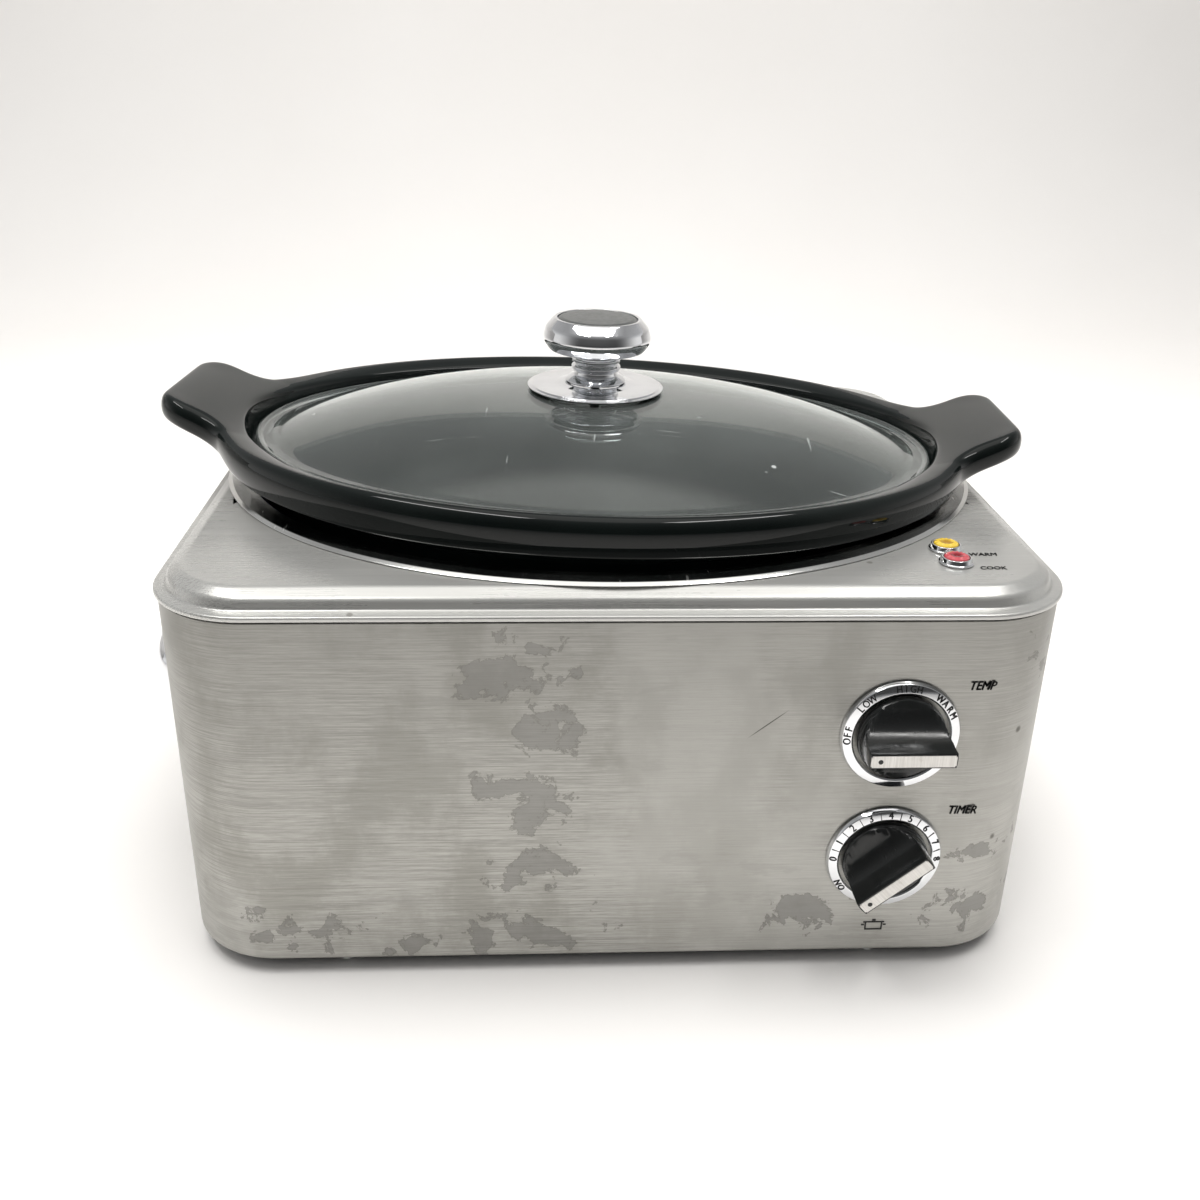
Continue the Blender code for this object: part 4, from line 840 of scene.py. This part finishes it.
def joined(name, parts):
    """One object from (mesh, matrix) pairs."""
    bm = bmesh.new()
    for mesh, matrix in parts:
        copy = mesh.copy()
        copy.transform(matrix)
        bm.from_mesh(copy)
        bpy.data.meshes.remove(copy)
    mesh = bpy.data.meshes.new(name)
    bm.to_mesh(mesh)
    bm.free()
    item = bpy.data.objects.new(name, mesh)
    bpy.context.collection.objects.link(item)
    return item


def printed(name, parts):
    """Thin black print on the housing."""
    finished(joined(name, parts), "ink", "housing", "black_gloss")


FACE_FRONT = Matrix(((1, 0, 0, 0), (0, 0, -1, 0), (0, 1, 0, 0), (0, 0, 0, 1)))     # text plane XY to XZ, facing -Y
RING_SLOPE, RING_FACE, PRINT_RADIUS = radians(-13.0), 0.00338, 0.0230
PRINT_THICK = 0.00012


def on_ring(z, degrees):
    """Places a mark on a dial ring's face; degrees run clockwise from nine o'clock, as seen from the front."""
    turn = Matrix.Rotation(radians(degrees) - pi / 2, 4, "Y")
    lift = Matrix.Translation((0, -RING_FACE, PRINT_RADIUS))
    centre = Matrix.Translation((DIAL_X, FRONT + MIDDLE, z))
    return centre @ turn @ lift @ Matrix.Rotation(RING_SLOPE, 4, "X") @ FACE_FRONT


def bar_mesh(name, wide, high):
    bm = bmesh.new()
    bmesh.ops.create_cube(bm, size=1.0)
    bmesh.ops.scale(bm, vec=(wide, high, PRINT_THICK), verts=bm.verts)
    mesh = bpy.data.meshes.new(name)
    bm.to_mesh(mesh)
    bm.free()
    return mesh


def ring_word(words, z, middle, size, step):
    """A word bent along a dial ring, one letter at a time."""
    parts = []
    for i, letter in enumerate(words):
        degrees = middle + (i - (len(words) - 1) / 2) * step
        parts.append((text_mesh("letter", letter, size, bold=0.022, narrow=0.84), on_ring(z, degrees)))
    return parts


def dial_ring(name, z):
    profile = rounded(
        [(DIAL_BORE, -0.0003, 0.0001), (DIAL_RADIUS, -0.0003, 0.0001), (DIAL_RADIUS, -0.0012, 0.0004),
         (DIAL_RADIUS - 0.0008, -0.0027, 0.0006), (DIAL_BORE + 0.0008, -0.0037, 0.0004), (DIAL_BORE, -0.0032, 0.0003)],
        0.0003, 5, closed=True)
    item = turned(f"{name}_ring_smooth", profile, 128, ring=True, along="Y", location=(DIAL_X, FRONT + MIDDLE, z))
    finished(item, "chrome", "housing", "chrome", f"{name}_dial_ring")


def knob_section(radius, half_wide, y, steps=120):
    """A disc cut off flat above and below: the round skirt of the knob narrows to its bar."""
    loop = []
    for i in range(steps):
        angle = 2 * pi * (i + 0.5) / steps
        z = radius * sin(angle)
        loop.append((radius * cos(angle), y, max(-half_wide, min(half_wide, z))))
    return loop


KNOB_SKIRT = (          # depth, how much narrower than the knob, half-width of the bar as a share of its radius
    (-0.0006, 0.0008, 1), (-0.0012, 0.0002, 1), (-0.0018, 0.0, 1), (-0.0040, 0.0, 1), (-0.0048, 0.0002, 1),
    (-0.0053, 0.0006, 0.93), (-0.0059, 0.0007, 0.80), (-0.0068, 0.0007, 0.64), (-0.0079, 0.0007, 0.505),
    (-0.0093, 0.0006, 0.395), (-0.0110, 0.0006, 0.315), (-0.0130, 0.0006, 0.262), (-0.0152, 0.0005, 0.225),
    (-0.0176, 0.0005, 0.200), (-0.0200, 0.0005, 0.186),
)
KNOB_FACE = ((0.0008, 0.0005, 0.0035), (0.0003, 0.0006, 0.0034), (0.0001, 0.0009, 0.0031))     # half-width in metres


def control_knob(name, z, rest):
    place = (DIAL_X, FRONT + MIDDLE, z)
    turn = (0, rest, 0)
    r, face = KNOB_RADIUS, -KNOB_REACH
    loops = [knob_section(r - less, min(r * share, r - less), y) for y, less, share in KNOB_SKIRT]
    loops += [knob_section(r - less, half, face + y) for y, less, half in KNOB_FACE]
    knob = loft(f"{name}_knob_smooth", loops, sharp=34, location=place, rotation=turn)
    finished(knob, "black", f"{name}_control", "black_gloss", f"{name}_knob")

    half_long, half_wide = GRIP_HALF_LENGTH - STRIP_INSET, GRIP_HALF_WIDTH - STRIP_INSET
    bm = bmesh.new()
    bmesh.ops.create_cube(bm, size=1.0)
    bmesh.ops.scale(bm, vec=(half_long * 2, 0.0008, half_wide * 2), verts=bm.verts)
    bmesh.ops.translate(bm, vec=(0, face + 0.00025, 0), verts=bm.verts)
    edges = [e for e in bm.edges if abs(e.verts[0].co.y - e.verts[1].co.y) > 0.0001]
    bmesh.ops.bevel(bm, geom=edges, offset=0.0005, segments=4, affect="EDGES")
    edges = [e for e in bm.edges if e.verts[0].co.y < face and e.verts[1].co.y < face]
    bmesh.ops.bevel(bm, geom=edges, offset=0.0001, segments=2, affect="EDGES")
    strip = mesh_object(f"{name}_strip_smooth", bm, 40, place, turn)
    finished(strip, "strip", f"{name}_control", "satin_silver", f"{name}_knob_pointer")
    profile = [(0.00105, face), (0.00105, face - 0.00020), (0.00095, face - 0.00024)]
    dot = turned(f"{name}_index_dot", profile, 32, along="Y", sharp=40)
    dot.data.transform(Matrix.Translation((-half_long + 0.0040, 0, 0)))
    dot.location = place
    dot.rotation_euler = turn
    finished(dot, "ink", f"{name}_control", "black_gloss")


def dial_print():
    temp = ring_word("OFF", TEMP_Z, 3, 0.0046, 7.4) + ring_word("LOW", TEMP_Z, 44, 0.0044, 8.0)
    temp += ring_word("HIGH", TEMP_Z, 92, 0.0044, 7.2) + ring_word("WARM", TEMP_Z, 141, 0.0044, 8.6)
    printed("temp_dial_print", temp)
    timer = ring_word("ON", TIMER_Z, -35, 0.0044, 8.0)
    tick = bar_mesh("tick", 0.00028, 0.0034)
    zero, hour, hours = 2, 22.2, 8          # degrees, and the last hour on the dial
    for number in range(hours + 1):
        angle = zero + number * hour
        timer.append((text_mesh("letter", str(number), 0.0047, bold=0.020, narrow=0.9), on_ring(TIMER_Z, angle)))
        if number < hours:
            timer.append((tick, on_ring(TIMER_Z, angle + hour / 2)))
    printed("timer_dial_print", timer)


def labels():
    front = Matrix.Translation((0, FRONT + MIDDLE - PRINT_THICK, 0))
    for words, x, z in (("TEMP", 0.1516, 0.1453), ("TIMER", 0.1515, 0.0840)):
        name = f"label_{words.lower()}"
        mesh = text_mesh(name, words, 0.0058, bold=0.030, shear=0.24, narrow=0.80)
        printed(name, [(mesh, front @ Matrix.Translation((x, 0, z)) @ FACE_FRONT)])
    for words, x, y, size in (("WARM", 0.1596, -0.1244, 0.0047), ("COOK", 0.1592, -0.1394, 0.0044)):
        name = f"label_{words.lower()}_light"
        mesh = text_mesh(name, words, size, bold=0.026, shear=0.22, narrow=0.86)
        printed(name, [(mesh, Matrix.Translation((x, y + MIDDLE, DECK_TOP + PRINT_THICK)))])
    pot_mark(front @ Matrix.Translation((0.1192, 0, 0.0222)) @ FACE_FRONT)


def pot_mark(place):
    """A small generic outline of a lidded pot."""
    def bar(x, y, wide, high):
        return bar_mesh("bar", wide, high), place @ Matrix.Translation((x, y, 0))

    line = 0.0007
    base, rim, lid_grip = bar(0, -0.0021, 0.0074, line), bar(0, 0.0019, 0.0096, line), bar(0, 0.0030, 0.0016, 0.0010)
    walls = [bar(x, -0.0004, line, 0.0040) for x in (-0.0037, 0.0037)]
    ears = [bar(x, 0.0004, 0.0014, line) for x in (-0.0050, 0.0050)]
    parts = [base, *walls, rim, lid_grip, *ears]
    printed("pot_mark", parts)


def pilot_lights():
    top = DECK_TOP + GAP
    for (name, x, y), colour in zip(LIGHTS, ("amber", "red")):
        place = (x, y + MIDDLE, 0)
        profile = rounded(
            [(LIGHT_RADIUS + 0.0003, top, 0.0001), (BEZEL_RADIUS, top, 0.0001), (BEZEL_RADIUS, top + 0.0005, 0.0002),
             (BEZEL_RADIUS - 0.0006, top + 0.0008, 0.0003), (LIGHT_RADIUS + 0.0011, top + 0.0026, 0.0004),
             (LIGHT_RADIUS + 0.0003, top + 0.0026, 0.0003)], 0.0002, 4, closed=True)
        bezel = turned(f"{name}_bezel_smooth", profile, 64, ring=True, location=place)
        finished(bezel, "chrome", "housing", "chrome", f"{name}_light_bezel")
        stem, r = 0.0043, LIGHT_RADIUS
        rows = [(stem, -0.0080), (stem, 0.0), (r, 0.0001), (r, 0.0025), (r * 0.94, 0.0029)]
        loops = [at_height(circle(radius, 24), top + z) for radius, z in rows]
        facets = []
        for i in range(24):
            swell, lift = (1.10, 0.0003) if i % 2 else (0.95, 0.0)
            reach, angle = r * 0.62 * swell, 2 * pi * i / 24
            facets.append((reach * cos(angle), reach * sin(angle), top + 0.0034 + lift))
        loops.append(facets)
        loops += [at_height(circle(r * share, 24), top + z) for share, z in ((0.34, 0.0030), (0.12, 0.0026))]
        jewel = loft(f"{name}_lens_faceted", loops, sharp=12, location=place)
        finished(jewel, colour, "housing", f"{colour}_lens", f"{name}_light_lens")


# ---------------------------------------------------------------- handles
def handle(name, side):
    wall = CASE_X + GAP
    stations, around = 48, 32
    bow = HANDLE_REACH - HANDLE_HALF_THICK
    half = HANDLE_HALF_LENGTH - HANDLE_HALF_THICK
    centres = []
    for i in range(stations + 1):
        out = sin(pi * i / stations) ** HANDLE_BOW if 0 < i < stations else 0.0
        centres.append(Vector((wall + bow * out, -half * cos(pi * i / stations))))
    loops = []
    for i, centre in enumerate(centres):
        along = centres[min(i + 1, stations)] - centres[max(i - 1, 0)]
        normal = Vector((along.y, -along.x)).normalized()
        if i in (0, stations):
            normal = Vector((0.0, -1.0 if i == 0 else 1.0))
        out = sin(pi * i / stations) ** HANDLE_BOW if 0 < i < stations else 0.0
        height = HANDLE_HALF_HEIGHT * (1.0 - 0.10 * out)
        loop = []
        for k in range(around):
            turn = 2 * pi * k / around
            c, s = cos(turn), sin(turn)
            across = HANDLE_HALF_THICK * abs(c) ** 0.85 * (1 if c >= 0 else -1)
            tall = height * abs(s) ** 0.80 * (1 if s >= 0 else -1)
            loop.append((side * (centre.x + normal.x * across), centre.y + normal.y * across, tall))
        loops.append(loop)
    item = loft(f"{name}_smooth", loops, sharp=60, location=(0, MIDDLE, HANDLE_Z))
    finished(item, "handle_chrome", "housing", "chrome", name)


# ---------------------------------------------------------------- pieces kept from the CAD model
def carried_over():
    looks = {               # material slot to look
        "aluminium": "aluminium", "zinc_steel": "zinc", "rubber": "rubber", "mica": "mica", "glass_wool": "wool",
        "white_ceramic": "ceramic", "switch_plastic": "moulding", "black_matt": "tray", "chrome": "chrome",
        "black_gloss": "black", "brushed_steel": "deck", "polished_steel": "polished", "satin_silver": "strip",
        "grey_cap": "cap", "amber_lens": "amber", "red_lens": "red", "black_glaze": "glaze", "lid_glass": "glass",
    }
    slots = {part["node"]: part["material_slot"] for part in frame["record"]["subparts"]}
    for name, node in frame["nodes"].items():
        for i in range(max(1, len(node.material_slots))):
            if not node.material_slots:
                node.data.materials.append(look(looks[slots[name]]))
            else:
                node.material_slots[i].material = look(looks[slots[name]])


# ---------------------------------------------------------------- stage, light and camera
def stage():
    n = material("pale_backdrop")
    cloud = n.noise(n.place, scale=1.3, detail=3)
    grain = n.noise(n.place, scale=70, detail=4)
    n.set(
        Base_Color=n.mix(n.ramp(cloud, 0.3, 0.7), (0.86, 0.845, 0.830), (0.89, 0.878, 0.866)),
        Roughness=n.ramp(grain, 0.3, 0.7, (0.55, 0.70)),
    )
    n.bump(grain, 0.02, 0.0005)
    rows = [(-4.0, 0.0), (1.1, 0.0)]
    rows += [(1.1 + 0.5 * sin(radians(a)), 0.5 - 0.5 * cos(radians(a))) for a in range(6, 91, 6)]
    rows.append((1.6, 1.15))
    bm = bmesh.new()
    pairs = [(bm.verts.new((-5, y, z)), bm.verts.new((5, y, z))) for y, z in rows]
    for (a, b), (c, d) in zip(pairs, pairs[1:]):
        bm.faces.new((a, b, d, c))
    floor = mesh_object("backdrop", bm)
    floor.data.materials.append(n.owner)


def area_light(name, place, target, size, power, colour, seen):
    """A rectangular lamp facing a target; only a lamp that is seen shows in reflections."""
    data = bpy.data.lights.new(name, "AREA")
    data.shape = "RECTANGLE"
    data.size, data.size_y = size
    data.energy = power
    data.color = colour
    item = bpy.data.objects.new(name, data)
    item.location = place
    item.rotation_mode = "QUATERNION"
    item.rotation_quaternion = (Vector(target) - Vector(place)).to_track_quat("-Z", "Y")
    item.visible_glossy = seen
    item.visible_transmission = False
    bpy.context.collection.objects.link(item)


BACK_OF_ROOM = (            # brightness, or colour, from straight down at 0 to straight up at 1
    (0.46, 0.90), (0.56, (0.90, 0.89, 0.87)), (0.64, 0.68), (0.74, 0.46), (0.88, 0.36), (0.93, 0.50),
    (0.96, (1.5, 1.48, 1.44)),
)
FRONT_OF_ROOM = (
    (0.47, 0.50), (0.505, 0.06), (0.60, 0.07), (0.76, 0.16), (0.88, 0.30), (0.93, 0.50),
    (0.96, (1.5, 1.48, 1.44)),
)
LAMPS = (                   # name, place, target, size, power, colour, whether reflections show it
    ("overhead", (-0.05, 0.22, 1.6), (0, 0.05, 0.05), (1.3, 0.9), 21, (1.0, 0.985, 0.96), False),
    ("front fill", (-0.6, -1.4, 1.5), (0, -0.3, 0.0), (1.2, 0.8), 3.5, (1.0, 0.98, 0.95), False),
    ("tube left", (-0.75, -0.42, 1.9), (-0.2, -0.1, 0.1), (1.25, 0.16), 9, (1.0, 0.99, 0.97), True),
    ("tube right", (0.72, -0.36, 1.9), (0.2, -0.1, 0.1), (1.10, 0.16), 8, (1.0, 0.99, 0.97), True),
)


def lighting():
    """A bright patch of ceiling over a white set, with a dim room behind the camera; the camera sees a pale set."""
    world = bpy.data.worlds.new("soft studio")
    world.use_nodes = True
    world.node_tree.nodes.clear()
    n = Nodes(world)
    direction = n.coordinates.outputs["Generated"]
    up = n.ramp(n.axis(direction, 2), -1.0, 1.0, smooth=False)
    toward_back = n.ramp(n.axis(direction, 1), -0.80, 0.15)
    room = n.mix(toward_back, n.colours(up, FRONT_OF_ROOM), n.colours(up, BACK_OF_ROOM))
    shaders = (
        n.add("Background", Color=room, Strength=0.92),
        n.add("Background", Color=(0.875, 0.855, 0.838, 1), Strength=1.0),
    )
    choose = n.add("MixShader", Fac=n.add("LightPath").outputs["Is Camera Ray"])
    for i, shader in enumerate(shaders, 1):
        n.put(shader.outputs[0], choose.inputs[i])
    n.add("OutputWorld", Surface=choose.outputs[0])
    bpy.context.scene.world = world
    for lamp in LAMPS:
        area_light(*lamp)
    bpy.context.scene.view_settings.view_transform = "Standard"


def camera():
    """The photograph's viewpoint; the angles are in radians and the lens in millimetres."""
    yaw, pitch, roll = 0.0579, 0.4265, 0.0213
    forward = Vector((sin(yaw) * cos(pitch), cos(yaw) * cos(pitch), -sin(pitch)))
    right = Vector((cos(yaw), -sin(yaw), 0.0))
    up = right.cross(forward)
    across = right * cos(roll) + up * sin(roll)
    upward = -right * sin(roll) + up * cos(roll)
    data = bpy.data.cameras.new("camera")
    data.sensor_width = 36.0
    data.lens = 37.677
    item = bpy.data.objects.new("camera", data)
    item.rotation_mode = "QUATERNION"
    item.rotation_quaternion = Matrix((across, upward, -forward)).transposed().to_quaternion()
    item.location = (-0.03466, -0.61030, 0.39085)
    bpy.context.collection.objects.link(item)
    bpy.context.scene.camera = item


carried_over()
casing()
well()
crock()
lid()
dial_ring("temp", TEMP_Z)
dial_ring("timer", TIMER_Z)
control_knob("temp", TEMP_Z, 0.0)
control_knob("timer", TIMER_Z, TIMER_REST)
dial_print()
labels()
pilot_lights()
handle("handle_left", -1)
handle("handle_right", 1)
stage()
lighting()
camera()
